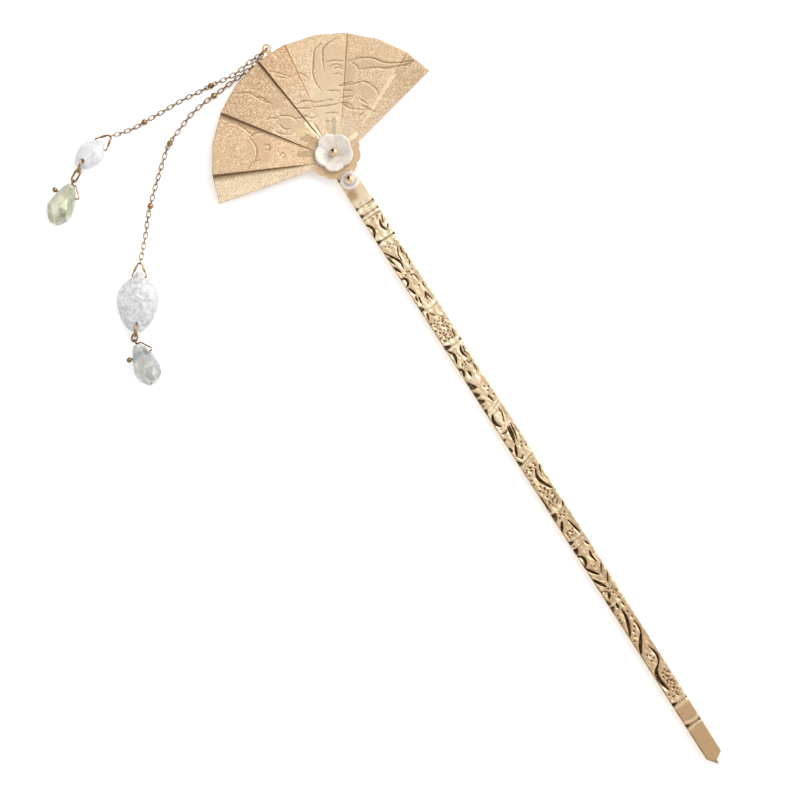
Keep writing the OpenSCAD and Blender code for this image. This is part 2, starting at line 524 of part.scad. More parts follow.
module pin_hole(x, y) {
    translate([x, y, pin_floor]) cylinder(d = pin_d + 2 * pin_gap, h = stick_t);
}

module stick() {
    color(gold) difference() {
        linear_extrude(stick_t) outline();
        carving();
        pin_hole(head_x, flower_y);
        pin_hole(0, bead_y);
        // Bevels of the point, one each side of its ridge
        for (side = [-1, 1])
            translate([0, point_len - stick_len, stick_t]) rotate([0, side * 24, 0])
                rotate([14, 0, 0]) translate([side > 0 ? 0 : -stick_w_tip, -stick_w_tip * 2, 0])
                    cube([stick_w_tip, stick_w_tip * 2, stick_t]);
    }
}

// Points around the rim: angle and height, from the left edge to the right edge. Under the
// sheet each riser stands back by the sheet's thickness.
function half_rim(back) = [for (p = PLEATS) each p[1] == p[2]
    ? [[p[0] * fan_half, p[1]]]
    : [[p[0] * fan_half - back - riser / 2, p[1]], [p[0] * fan_half - back + riser / 2, p[2]]]];
function rim(back) = let(h = half_rim(back), n = len(h)) concat(
    [for (i = [0 : n - 1]) [-h[n - 1 - i][0], h[n - 1 - i][1]]], h);

module pleats() {
    back = fan_t / fan_r * 180 / PI;
    top = rim(0);
    low = rim(back);
    n = len(top);
    function place(p, z) = [fan_r * sin(p[0]), fan_r * cos(p[0]), z + p[1] * fan_lift];
    points = concat([[0, 0, hub_top], [0, 0, fan_z]],
        [for (p = top) place(p, hub_top)], [for (i = [0 : n - 1])
            place(i == 0 || i == n - 1 ? top[i] : low[i], fan_z)]);
    faces = concat(
        [for (i = [0 : n - 2]) [0, 2 + i, 3 + i]],
        [for (i = [0 : n - 2]) [1, 3 + n + i, 2 + n + i]],
        [for (i = [0 : n - 2]) [2 + i, 2 + n + i, 3 + n + i]],
        [for (i = [0 : n - 2]) [2 + i, 3 + n + i, 3 + i]],
        [[0, 1, 2 + n], [0, 2 + n, 2], [0, n + 1, 2 * n + 1], [0, 2 * n + 1, 1]]);
    polyhedron(points, faces);
}

module fan() {
    lobe = hub_r * 0.36;
    color(gold) difference() {
        union() {
            translate([head_x, 0, 0]) pleats();
            translate([head_x, flower_y, fan_z]) linear_extrude(fan_t) {
                circle(hub_r - lobe / 2);
                for (i = [0 : hub_lobes - 1])
                    rotate(hub_turn + i * 360 / hub_lobes) translate([hub_r - lobe, 0]) circle(lobe);
            }
            translate([0, 0, rim_z - fan_t]) linear_extrude(fan_t) {
                translate([0, eye_y]) circle(d = eye_d);
                translate([-eye_neck / 2, fan_r - eye_d]) square([eye_neck, eye_out + eye_d]);
            }
        }
        translate([0, eye_y, 0]) cylinder(d = eye_hole, h = 2 * rim_z);
        translate([head_x, flower_y, 0]) cylinder(d = pin_d + 2 * pin_gap, h = 2 * rim_z);
    }
}

module shell_flower() {
    mid = flower_d * 0.27;
    bore = pin_d / 2 + pin_gap;
    edge = flower_d / 2;
    color(shell) translate([head_x, flower_y, flower_z]) intersection() {
        linear_extrude(flower_cup + flower_t + over) for (i = [0 : petals - 1])
            rotate(90 + i * 360 / petals) translate([mid, 0]) circle(edge - mid);
        rotate_extrude() polygon([[bore, 0], [flower_seat_d / 2, 0], [edge, flower_cup],
            [edge, flower_cup + flower_t * 0.6], [edge * 0.45, flower_t * 1.05], [bore, flower_t]]);
    }
}

// A ball-headed pin, standing in the stick
module pin(x, y, under_head) {
    head_rise = sqrt(pow(head_d / 2, 2) - pow(pin_d / 2 + pin_gap, 2));
    translate([x, y, pin_floor + gap]) cylinder(d = pin_d, h = under_head - pin_floor);
    translate([x, y, under_head + gap + head_rise]) sphere(d = head_d);
}

module flower_pin() {
    color(gold) pin(head_x, flower_y, flower_z + flower_t);
}

module small_bead() {
    round = bead_h / 2;
    color(shell) translate([0, bead_y, bead_z + round]) difference() {
        rotate_extrude() intersection() {
            union() {
                translate([bead_d / 2 - round, 0]) circle(round);
                translate([0, -round]) square([bead_d / 2 - round, bead_h]);
            }
            translate([0, -bead_h]) square([bead_d, 2 * bead_h]);
        }
        cylinder(d = pin_d + 2 * pin_gap, h = 2 * bead_h, center = true);
    }
}

module bead_pin() {
    color(gold) pin(0, bead_y, bead_z + bead_h);
}

// The ring stands on edge: its own X runs out from the eye and down
module edge_ring() {
    color(gold) multmatrix(frame(ring_c, along(ring_turn, -ring_slope), 0))
        rotate([90, 0, 0]) ring(ring_d, ring_wire);
}

// Where a chain starts on the edge ring, at a slope down from level
function hook(slope) = ring_c + along(ring_turn, -slope)
    * (ring_d / 2 - ring_wire / 2 - link_gap - link_wire / 2 + link_reach - link_pitch / 2);

module long_chain() {
    color(gold) chain(LONG_ROUTE, hook(long_hook), bail_end(LONG_LEAF_AT, LONG_TURNS[0], leaf_t),
        LONG_PATTERN);
}

module short_chain() {
    color(gold) chain(SHORT_ROUTE, hook(short_hook),
        bail_end(SHORT_LEAF_AT, SHORT_TURNS[0], small_leaf_t), SHORT_PATTERN);
}

// Puts children at a place over the surface, with local X along a direction
module laid(p, z, turn) {
    translate([p[0], p[1], z]) rotate([0, 0, turn]) children();
}

function bail_apex() = leaf_hole_top - bail_rise;
function bail_end(p, turn, t) = [p[0], p[1], t / 2]
    + (bail_apex() + bail_wire / 2 + link_gap + link_wire / 2 - link_reach + link_pitch / 2) * along(turn);

// Pinch bail: a bar through the bead and two legs that meet in a round apex
module bail(length, width) {
    bow = link_w / 2;
    leg = leaf_half(leaf_hole_top / length) * width / 2 + gap + bail_wire / 2;
    turn = bail_wire * 0.75;
    rise = bail_apex();
    lean = atan2(leaf_hole_top - rise - bow, leg - bow);
    apex = [for (a = [-lean : lean / 4 : lean]) [rise + bow * (1 - cos(a)), bow * sin(a), 0]];
    foot = [[leaf_hole_top - 2 * turn, leg - turn * 0.35, 0],
        [leaf_hole_top - turn * 0.6, leg - turn * 0.08, 0], [leaf_hole_top - turn * 0.1, leg - turn * 0.5, 0],
        [leaf_hole_top, leg - turn * 1.2, 0]];
    thick = [for (t = [0.3, 0.5, 0.8]) apex[8] + t * (foot[0] - apex[8])];
    side = concat(thick, foot);
    n = len(side) - 1;
    girth = [bail_leg, bail_leg, bail_wire, bail_wire, bail_wire, bail_wire, bail_wire];
    wire(concat(apex, side, [for (i = [n : -1 : 0]) [side[i][0], -side[i][1], 0]]),
        concat([for (p = apex) bail_wire], girth, [for (i = [n : -1 : 0]) girth[i]]), true);
}
function leaf_half(share) = lookup(share, [for (row = LEAF) [row[0], row[1]]]);
function leaf_thick(share) = lookup(share, [for (row = LEAF) [row[0], row[2]]]);

// Leaf bead: smooth pointed oval, long along X from its tip
module leaf(length, width, thick) {
    sides = 20;
    points = [for (row = LEAF, k = [0 : sides - 1]) let(a = k * 360 / sides)
        [row[0] * length, row[1] * width / 2 * cos(a), row[2] * thick / 2 * sin(a)]];
    difference() {
        polyhedron(points, skin(len(LEAF), sides));
        translate([leaf_hole_top, 0, 0]) rotate([90, 0, 0])
            cylinder(d = leaf_bore_top, h = width * 2, center = true);
        translate([length - leaf_hole_low, 0, 0])
            cylinder(d = leaf_bore_low, h = thick * 2, center = true);
    }
}

drop_points = [for (row = DROP, k = [0 : drop_facets - 1])
    let(a = (k + row[2] / 2) * 360 / drop_facets - 90)
    [row[0] * drop_len, row[1] * drop_w / 2 * cos(a), row[1] * drop_w / 2 * sin(a)]];
// Tilt that lays the drop's widest ring on the surface with its pin's loop at height z
drop_from = loop_d / 2 + drop_wire / 2 + link_gap;
drop_wide = [drop_from + belly * drop_len, drop_w / 2];
function tilt(z) = acos(z / norm(drop_wide)) - atan2(drop_wide[0], drop_wide[1]);

// Facets between a ring and the next, which may stand half a facet on
function cut_faces() = concat(
    [[for (k = [0 : drop_facets - 1]) k]],
    [for (i = [0 : len(DROP) - 2], k = [0 : drop_facets - 1], half = [0, 1])
        let(n = drop_facets, a = i * n + k, b = i * n + (k + 1) % n, on = DROP[i + 1][2] - DROP[i][2],
            c = a + n, d = b + n)
        on >= 0 ? (half == 0 ? [a, c, b] : [b, c, d]) : (half == 0 ? [a, c, d] : [a, d, b])],
    [[for (k = [drop_facets - 1 : -1 : 0]) (len(DROP) - 1) * drop_facets + k]]);

module glass_drop() {
    difference() {
        polyhedron(drop_points, cut_faces());
        translate([drop_hole, 0, 0]) rotate([90, 0, 0])
            cylinder(d = drop_bore, h = drop_w * 2, center = true);
    }
}

function flank(x) = lookup(x / drop_len, [for (row = DROP) [row[0], row[1]]]) * drop_w / 2;

// Pin of a drop: ball head, bar across the drop, a rise along its side and a loop
module drop_pin() {
    off = drop_wire / 2 + link_gap;
    head_y = -flank(drop_hole) - drop_head_d * 0.6 - gap;
    wire([[drop_hole, head_y, 0], [drop_hole, flank(drop_hole) + off * 0.9, 0],
        [drop_hole - off * 0.25, flank(drop_hole) + off * 1.7, 0],
        [drop_hole - off * 1.3, flank(drop_hole) + off * 2, 0],
        [drop_hole * 0.4, flank(drop_hole * 0.4) + off * 1.5, 0],
        [0, flank(0) + off * 1.1, 0], [-off * 0.6, flank(0) + off * 0.75, 0],
        [-off * 0.95, flank(0) + off * 0.2, 0], [-off, flank(0) * 0.6, 0], [-off, 0, 0]], drop_wire);
    translate([drop_hole, head_y, 0]) sphere(d = drop_head_d);
    translate([-drop_from, 0, 0]) rotate([90, 0, 0]) ring(loop_d, drop_wire);
}

// Places down a hanging part: lower hole of the bead, its ring, the oval link and the loop
// of the drop's pin. The ring stands on edge, so it passes through the bead at a bow, and the
// ring and the loop are posts that the flat link reaches round.
function low_hole(p, length, turns) = p + (length - leaf_hole_low) * flat(turns[0]);
function ring_bow(length, thick) = let(half = leaf_thick(1 - leaf_hole_low / length) * thick / 2,
    r = bead_ring_d / 2) (r - sqrt(r * r - half * half)) / 2;
function ring_mid(p, length, thick, turns) = low_hole(p, length, turns)
    + (bead_ring_d / 2 - ring_bow(length, thick)) * flat(turns[1]);
function oval_mid(p, length, thick, turns, oval) = ring_mid(p, length, thick, turns)
    + bead_ring_d / 2 * flat(turns[1]) + (oval / 2 - 1.5 * bead_ring_wire - link_gap) * flat(turns[2]);
function loop_mid(p, length, thick, turns, oval) = oval_mid(p, length, thick, turns, oval)
    + (oval / 2 - bead_ring_wire - link_gap - drop_wire / 2) * flat(turns[2]) + loop_d / 2 * flat(turns[3]);
function flat(turn) = [cos(turn), sin(turn)];
function ring_z(thick) = max(thick / 2, (bead_ring_d + bead_ring_wire) / 2);

module leaf_ring() {
    color(gold) rotate([90, 0, 0]) ring(bead_ring_d, bead_ring_wire);
}

// A drop or its pin, tilted to lie on the surface
module laid_drop(p, z, turn) {
    laid(p, z, turn) rotate([0, -tilt(z), 0]) translate([drop_from, 0, 0]) children();
}

module long_bail() {
    color(gold) laid(LONG_LEAF_AT, leaf_t / 2, LONG_TURNS[0]) bail(leaf_len, leaf_w);
}

module long_leaf() {
    color(crackle) laid(LONG_LEAF_AT, leaf_t / 2, LONG_TURNS[0]) leaf(leaf_len, leaf_w, leaf_t);
}

module long_leaf_ring() {
    laid(ring_mid(LONG_LEAF_AT, leaf_len, leaf_t, LONG_TURNS), ring_z(leaf_t), LONG_TURNS[1])
        leaf_ring();
}

module long_oval_link() {
    color(gold) laid(oval_mid(LONG_LEAF_AT, leaf_len, leaf_t, LONG_TURNS, oval_len), ring_z(leaf_t),
        LONG_TURNS[2]) oval(oval_len, oval_w, bead_ring_wire);
}

module long_drop() {
    color(glass) laid_drop(loop_mid(LONG_LEAF_AT, leaf_len, leaf_t, LONG_TURNS, oval_len), ring_z(leaf_t),
        LONG_TURNS[3]) glass_drop();
}

module long_drop_pin() {
    color(gold) laid_drop(loop_mid(LONG_LEAF_AT, leaf_len, leaf_t, LONG_TURNS, oval_len), ring_z(leaf_t),
        LONG_TURNS[3]) drop_pin();
}

module short_bail() {
    color(gold) laid(SHORT_LEAF_AT, small_leaf_t / 2, SHORT_TURNS[0])
        bail(small_leaf_len, small_leaf_w);
}

module short_leaf() {
    color(crackle) laid(SHORT_LEAF_AT, small_leaf_t / 2, SHORT_TURNS[0])
        leaf(small_leaf_len, small_leaf_w, small_leaf_t);
}

module short_leaf_ring() {
    laid(ring_mid(SHORT_LEAF_AT, small_leaf_len, small_leaf_t, SHORT_TURNS),
        ring_z(small_leaf_t), SHORT_TURNS[1]) leaf_ring();
}

module short_oval_link() {
    color(gold) laid(oval_mid(SHORT_LEAF_AT, small_leaf_len, small_leaf_t,
        SHORT_TURNS, small_oval_len),
        ring_z(small_leaf_t), SHORT_TURNS[2]) oval(small_oval_len, oval_w, bead_ring_wire);
}

module short_drop() {
    color(glass) laid_drop(loop_mid(SHORT_LEAF_AT, small_leaf_len, small_leaf_t,
        SHORT_TURNS, small_oval_len),
        ring_z(small_leaf_t), SHORT_TURNS[3]) glass_drop();
}

module short_drop_pin() {
    color(gold) laid_drop(loop_mid(SHORT_LEAF_AT, small_leaf_len, small_leaf_t,
        SHORT_TURNS, small_oval_len),
        ring_z(small_leaf_t), SHORT_TURNS[3]) drop_pin();
}

stick();
fan();
shell_flower();
flower_pin();
small_bead();
bead_pin();
edge_ring();
long_chain();
long_bail();
long_leaf();
long_leaf_ring();
long_oval_link();
long_drop();
long_drop_pin();
short_chain();
short_bail();
short_leaf();
short_leaf_ring();
short_oval_link();
short_drop();
short_drop_pin();
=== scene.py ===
import math

import bmesh
import bpy
import numpy as np
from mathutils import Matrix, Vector
from mathutils.bvhtree import BVHTree


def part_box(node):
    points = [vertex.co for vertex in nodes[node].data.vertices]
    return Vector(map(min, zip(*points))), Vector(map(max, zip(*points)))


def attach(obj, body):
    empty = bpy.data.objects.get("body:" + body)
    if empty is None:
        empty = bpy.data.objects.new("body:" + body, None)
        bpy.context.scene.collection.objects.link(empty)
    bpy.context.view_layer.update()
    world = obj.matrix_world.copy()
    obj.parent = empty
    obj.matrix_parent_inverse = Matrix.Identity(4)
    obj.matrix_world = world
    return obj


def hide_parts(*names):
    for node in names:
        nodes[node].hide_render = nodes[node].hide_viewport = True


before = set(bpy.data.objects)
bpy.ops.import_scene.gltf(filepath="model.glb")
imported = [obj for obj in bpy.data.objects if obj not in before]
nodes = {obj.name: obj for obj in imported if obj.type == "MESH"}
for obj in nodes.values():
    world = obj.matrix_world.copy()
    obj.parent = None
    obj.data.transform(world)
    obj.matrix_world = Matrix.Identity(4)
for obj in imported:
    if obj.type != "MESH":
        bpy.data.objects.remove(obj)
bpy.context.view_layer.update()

mm = 0.001


def tint(red, green, blue, alpha=1.0):
    # screen colour, 0 to 255, as the linear colour that the shaders take
    return tuple((c / 255) ** 2.2 for c in (red, green, blue)) + (alpha,)


def smoothStep(low, high, x):
    t = np.clip((x - low) / (high - low), 0, 1)
    return t * t * (3 - 2 * t)


# Camera: straight over the surface, turned so that the stick runs down to the right
shot = {
    "centre": (-16.52, -51.53),   # mm, what the middle of the picture looks at
    "width": 176.0,               # mm across the picture
    "lens": 100.0,
    "turn": -32.37,               # degrees about the vertical
}


def makeCamera():
    camera = bpy.data.cameras.new("overheadCamera")
    camera.lens = shot["lens"]
    height = shot["lens"] / camera.sensor_width * shot["width"]
    cameraObject = bpy.data.objects.new("overheadCamera", camera)
    cameraObject.location = (shot["centre"][0] * mm, shot["centre"][1] * mm, (height + 2) * mm)
    cameraObject.rotation_euler = (0, 0, math.radians(shot["turn"]))
    camera.clip_start = 0.01
    bpy.context.scene.collection.objects.link(cameraObject)
    bpy.context.scene.camera = cameraObject


makeCamera()
print("camera ready")


# Shader helpers
def newMaterial(name, roughness, metallic=1.0, **uniform):
    # uniform values go straight onto the shader's own sockets
    material = bpy.data.materials.new(name)
    material.use_nodes = True
    shader = material.node_tree.nodes["Principled BSDF"]
    shader.inputs["Roughness"].default_value = roughness
    shader.inputs["Metallic"].default_value = metallic
    for socket, value in uniform.items():
        shader.inputs[socket.replace("_", " ")].default_value = value
    return material, material.node_tree


def addNode(tree, kind, inputs=None, **settings):
    node = tree.nodes.new(kind)
    for key, value in settings.items():
        setattr(node, key, value)
    for socket, value in (inputs or {}).items():
        if isinstance(value, bpy.types.NodeSocket):
            tree.links.new(value, node.inputs[socket])
        else:
            node.inputs[socket].default_value = value
    return node


def mixColour(tree, factor, first, second):
    node = addNode(tree, "ShaderNodeMix", data_type="RGBA")
    for index, value in ((0, factor), (6, first), (7, second)):
        if isinstance(value, bpy.types.NodeSocket):
            tree.links.new(value, node.inputs[index])
        else:
            node.inputs[index].default_value = value
    return node.outputs[2]


def ramp(tree, value, low, high, first=0.0, second=1.0):
    node = addNode(tree, "ShaderNodeMapRange", {
        "Value": value, "From Min": low, "From Max": high, "To Min": first, "To Max": second})
    return node.outputs["Result"]


def mathNode(tree, operation, first, second=0.0):
    node = addNode(tree, "ShaderNodeMath", {0: first, 1: second}, operation=operation)
    return node.outputs[0]


def colourRamp(tree, factor, first, *rest):
    # stops as position and colour, in rising order
    node = addNode(tree, "ShaderNodeValToRGB", {"Fac": factor})
    elements = node.color_ramp.elements
    for element, (position, colour) in zip(elements, (first, rest[-1])):
        element.position, element.color = position, colour
    for position, colour in rest[:-1]:
        elements.new(position).color = colour
    return node.outputs["Color"]


def objectPlace(tree):
    return addNode(tree, "ShaderNodeTexCoord").outputs["Object"]


def attributeOf(tree, name, output="Color"):
    return addNode(tree, "ShaderNodeAttribute", attribute_name=name).outputs[output]


def noise(tree, place, scale, detail, **inputs):
    node = addNode(tree, "ShaderNodeTexNoise", {"Vector": place, "Scale": scale, "Detail": detail, **inputs})
    return node.outputs["Fac"]


def awayFrom(tree, place, spot):
    return addNode(tree, "ShaderNodeVectorMath", {0: place, 1: spot}, operation="DISTANCE").outputs["Value"]


def channels(tree, colour):
    return addNode(tree, "ShaderNodeSeparateColor", {"Color": colour}).outputs


def setSurface(material, colour, roughness=None, height=None, strength=0.5, depth=0.05):
    # what changes over the surface; the depth of the bumps is in mm
    tree = material.node_tree
    inputs = tree.nodes["Principled BSDF"].inputs
    tree.links.new(colour, inputs["Base Color"])
    if roughness is not None:
        tree.links.new(roughness, inputs["Roughness"])
    if height is not None:
        bump = addNode(tree, "ShaderNodeBump", {
            "Strength": strength, "Distance": depth * mm, "Height": height})
        tree.links.new(bump.outputs["Normal"], inputs["Normal"])
    return material


def newGroup(name, inputs, outputs):
    group = bpy.data.node_groups.new(name, "ShaderNodeTree")
    for socketName, kind, value in inputs:
        socket = group.interface.new_socket(socketName, in_out="INPUT", socket_type=kind)
        socket.default_value = value
    for socketName, kind in outputs:
        group.interface.new_socket(socketName, in_out="OUTPUT", socket_type=kind)
    entry = group.nodes.new("NodeGroupInput")
    leave = group.nodes.new("NodeGroupOutput")
    return group, entry, leave


# Effects that several metals share
def makeBrushedTone():
    # slow drift of tone with fine speckle, for every gold surface
    group, entry, leave = newGroup("brushedTone", [
        ("Colour", "NodeSocketColor", tint(226, 194, 150)),
        ("Deeper", "NodeSocketColor", tint(200, 160, 112)),
        ("Size", "NodeSocketFloat", 300.0),
        ("Amount", "NodeSocketFloat", 0.5)],
        [("Colour", "NodeSocketColor"), ("Speckle", "NodeSocketFloat")])
    place = objectPlace(group)
    drift = noise(group, place, entry.outputs["Size"], 4.0, Roughness=0.6)
    share = mathNode(group, "MULTIPLY", ramp(group, drift, 0.35, 0.7), entry.outputs["Amount"])
    colour = mixColour(group, share, entry.outputs["Colour"], entry.outputs["Deeper"])
    group.links.new(colour, leave.inputs["Colour"])
    group.links.new(noise(group, place, 2600.0, 2.0), leave.inputs["Speckle"])
    return group


def makeGranularGround():
    # raised grains of a frosted, punched ground, and a painted glint: how bright each grain looks
    group, entry, leave = newGroup("granularGround", [("Grain", "NodeSocketFloat", 0.3)],
                                   [("Height", "NodeSocketFloat"), ("Glint", "NodeSocketFloat")])
    place = objectPlace(group)
    scale = mathNode(group, "DIVIDE", 1000.0, entry.outputs["Grain"])
    grains = addNode(group, "ShaderNodeTexVoronoi", {"Vector": place, "Scale": scale})
    loose = noise(group, place, scale, 2.0)
    each = channels(group, grains.outputs["Color"])["Red"]
    height = mathNode(group, "ADD", ramp(group, grains.outputs["Distance"], 0.05, 0.7, 1.0, 0.0),
                      mathNode(group, "MULTIPLY", loose, 0.8))
    glint = mathNode(group, "ADD", mathNode(group, "MULTIPLY", each, 0.6),
                     ramp(group, loose, 0.3, 0.7, 0.0, 0.4))
    group.links.new(height, leave.inputs["Height"])
    group.links.new(glint, leave.inputs["Glint"])
    return group


brushedTone = makeBrushedTone()
granularGround = makeGranularGround()


def toneOf(tree, colour, deeper, **inputs):
    return addNode(tree, "ShaderNodeGroup", {"Colour": colour, "Deeper": deeper, **inputs},
                   node_tree=brushedTone).outputs


# Metals
goldColours = {
    "carvedTop": tint(238, 212, 176),
    "carvedDeep": tint(206, 174, 134),
    # painted highlight of the stick's raised forms and the point's right facet
    "carvedPaintedHighlight": tint(255, 243, 214),
    # browner tone of the plain plates and the run to the point, a painted darker reflection
    "plate": tint(186, 150, 110),
    # patina of the carving and small marks, with painted shade round the cuts, on the edges and on the
    # point's left facet
    "recess": tint(76, 55, 30),
    "frosted": tint(204, 176, 143),
    "hub": tint(192, 166, 132),
    "grainLight": tint(255, 238, 208),
    "grainDark": tint(150, 116, 80),
    # painted shadow of the pleats
    "foldShadow": tint(104, 76, 40),
    "line": tint(128, 98, 62),
    "link": tint(182, 146, 108),
    "linkDeep": tint(80, 58, 38),
    "head": tint(226, 198, 158),
    "headDeep": tint(198, 160, 124),
    # painted dark reflection on the ball heads
    "headPaintedReflection": tint(52, 42, 26),
}


def wireGold():
    # fine chain and rings: small bright and dark places in turn, painted highlights and shade of the links
    material, tree = newMaterial("wireGold", 0.25)
    tone = toneOf(tree, goldColours["link"], goldColours["linkDeep"], Size=1100.0, Amount=1.0)
    return setSurface(material, tone["Colour"], ramp(tree, tone["Speckle"], 0.2, 0.8, 0.14, 0.32))


# Ball heads: radius in mm, and the way from the centre to the painted dark reflection, with its
# inner and outer radius in mm
ballHead = {"radius": 0.95, "paintedReflectionWay": (-0.1, 0.36, 0.92), "paintedReflectionInner": 0.2, "paintedReflectionOuter": 0.55}


def headGold():
    # polished ball heads, each with a painted dark reflection towards the top of the fan
    material, tree = newMaterial("headGold", 0.14)
    tone = toneOf(tree, goldColours["head"], goldColours["headDeep"])
    place = objectPlace(tree)
    radius = ballHead["radius"] * mm
    # the dark place is a painted reflection of something dark above
    dark = 0.0
    for node in ("flower_pin", "bead_pin"):
        low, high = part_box(node)
        top = Vector(((low.x + high.x) / 2, (low.y + high.y) / 2, high.z - radius))
        away = awayFrom(tree, place, top + radius * Vector(ballHead["paintedReflectionWay"]))
        spot = ramp(tree, away, ballHead["paintedReflectionInner"] * mm, ballHead["paintedReflectionOuter"] * mm, 1.0, 0.0)
        dark = mathNode(tree, "MAXIMUM", dark, spot)
    return setSurface(material, mixColour(tree, dark, tone["Colour"], goldColours["headPaintedReflection"]))


def carvedGold():
    # painted highlight where the face stands, dark in the carving, which is patina with painted shade round
    # it, and a painted darker reflection on the plain plates; the marks say where
    material, tree = newMaterial("carvedGold", 0.3)
    mark = channels(tree, attributeOf(tree, "carving"))
    tone = toneOf(tree, goldColours["carvedTop"], goldColours["carvedDeep"], Size=700.0)
    colour = mixColour(tree, mark["Green"], tone["Colour"], goldColours["carvedPaintedHighlight"])
    colour = mixColour(tree, mark["Blue"], colour, goldColours["plate"])
    worn = noise(tree, objectPlace(tree), 1500.0, 3.0)
    dark = mathNode(tree, "MULTIPLY", mark["Red"], ramp(tree, worn, 0.3, 0.6, 0.7, 1.0))
    colour = mixColour(tree, dark, colour, goldColours["recess"])
    return setSurface(material, colour, ramp(tree, dark, 0.0, 1.0, 0.34, 0.6), worn, 0.5, 0.04)


def frostedGold(name, useSkin):
    # grained sheet; on the engraved skin the painted light of the pleats and pads, the smooth areas, the
    # lines and the painted pleat shadows are attributes
    material, tree = newMaterial(name, 0.46)
    ground = addNode(tree, "ShaderNodeGroup", {"Grain": 0.21}, node_tree=granularGround).outputs
    colour = toneOf(tree, goldColours["frosted"], goldColours["hub"])["Colour"]
    rough = ground["Height"]
    if useSkin:
        mark = channels(tree, attributeOf(tree, "engraving"))
        # painted light and reflections of the pleats and pads
        colour = mixColour(tree, 0.15, attributeOf(tree, "panelPaintedLight"), colour)
        spread = ramp(tree, mark["Green"], 0.0, 1.0, 1.0, 0.35)
        rough = mathNode(tree, "MULTIPLY", rough, spread)
        # lighter and darker grains: a painted glint and shade of the grains
        lighter = mathNode(tree, "MULTIPLY", ramp(tree, ground["Glint"], 0.55, 0.9, 0.0, 0.62), spread)
        darker = mathNode(tree, "MULTIPLY", ramp(tree, ground["Glint"], 0.45, 0.1, 0.0, 0.5), spread)
        line = mathNode(tree, "MULTIPLY", mark["Red"], 0.7)
        for share, key in ((lighter, "grainLight"), (darker, "grainDark"), (line, "line"),
                           (mark["Blue"], "foldShadow")):
            colour = mixColour(tree, share, colour, goldColours[key])
    return setSurface(material, colour, height=rough, strength=0.6)


# Shell, pearl and glass
def pearlyShell():
    # slow sheen of pale tints, with painted shade along the carved rays
    material, tree = newMaterial(
        "pearlyShell", 0.3, 0.0, Subsurface_Weight=0.1, Subsurface_Scale=0.0005,
        Coat_Weight=0.35, Coat_Roughness=0.12)
    sheen = noise(tree, objectPlace(tree), 380.0, 2.0, Distortion=1.2)
    tints = colourRamp(tree, sheen, (0.3, tint(198, 185, 180)), (0.42, tint(198, 195, 188)),
                       (0.52, tint(217, 206, 191)), (0.63, tint(204, 194, 196)),
                       (0.75, tint(219, 202, 182)))
    # painted shade in the rays
    ray = mathNode(tree, "MULTIPLY", attributeOf(tree, "ray", "Fac"), 0.6)
    return setSurface(material, mixColour(tree, ray, tints, tint(146, 132, 116)))


def cloudyPearl():
    # milky, with a painted grey ring of shade where its hole shows round the ball head
    material, tree = newMaterial(
        "cloudyPearl", 0.12, 0.0, Transmission_Weight=0.35, IOR=1.5, Coat_Weight=0.7,
        Coat_Roughness=0.04)
    place = objectPlace(tree)
    cloud = ramp(tree, noise(tree, place, 420.0, 2.0), 0.35, 0.65)
    colour = mixColour(tree, cloud, tint(246, 242, 236), tint(216, 207, 200))
    low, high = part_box("small_bead")
    away = awayFrom(tree, place, ((low.x + high.x) / 2, (low.y + high.y) / 2, high.z))
    offRing = mathNode(tree, "ABSOLUTE", mathNode(tree, "SUBTRACT", away, 1.25 * mm))
    ring = ramp(tree, offRing, 0.08 * mm, 0.32 * mm, 0.6, 0.0)
    return setSurface(material, mixColour(tree, ring, colour, tint(148, 138, 126)))


def crackleGlass(name, deep):
    # clear skin over a cracked, frosted inside
    material, tree = newMaterial(
        name, 0.12, 0.0, Transmission_Weight=0.4, IOR=1.45, Coat_Weight=0.8,
        Coat_Roughness=0.05)
    place = objectPlace(tree)
    cracks = addNode(tree, "ShaderNodeTexVoronoi", {"Vector": place, "Scale": 900.0},
                     feature="DISTANCE_TO_EDGE")
    line = ramp(tree, cracks.outputs["Distance"], 0.0, 0.1, 0.7, 0.0)
    cloud = ramp(tree, noise(tree, place, 850.0, 4.0, Distortion=1.5), 0.38, 0.66, 0.15, 1.0)
    white = mathNode(tree, "MAXIMUM", line, cloud)
    colour = mixColour(tree, white, deep, tint(250, 248, 250))
    return setSurface(material, colour, ramp(tree, white, 0.0, 1.0, 0.3, 0.5), white, 0.35, 0.15)


def coatedGlass(name, blue):
    # cut glass with a faint rainbow coating; every facet has its own painted reflection tone
    material, tree = newMaterial(
        name, 0.05, 0.0, Transmission_Weight=0.5, IOR=1.5, Thin_Film_Thickness=380.0,
        Thin_Film_IOR=1.45, Coat_Weight=0.5, Coat_Roughness=0.02)
    bands = ramp(tree, noise(tree, objectPlace(tree), 260.0, 1.0, Distortion=0.8), 0.35, 0.65, 0.05, 0.42)
    facet = mathNode(tree, "MULTIPLY", attributeOf(tree, "facet", "Fac"), 0.55)
    return setSurface(material, colourRamp(
        tree, mathNode(tree, "ADD", facet, bands), (0.05, tint(138, 138, 112 + blue)),
        (0.28, tint(166, 174, 154 + blue)), (0.5, tint(194, 200, 184 + blue)),
        (0.68, tint(212, 202, 180 + blue)), (0.9, tint(255, 253, 240 + blue // 2))))


def dress(node, material):
    nodes[node].data.materials.clear()
    nodes[node].data.materials.append(material)


carved = carvedGold()
wire = wireGold()
head = headGold()
frosted = frostedGold("frostedGold", False)
coated = {"long_drop": coatedGlass("coatedGlass", 16),
          "short_drop": coatedGlass("warmCoatedGlass", -6)}

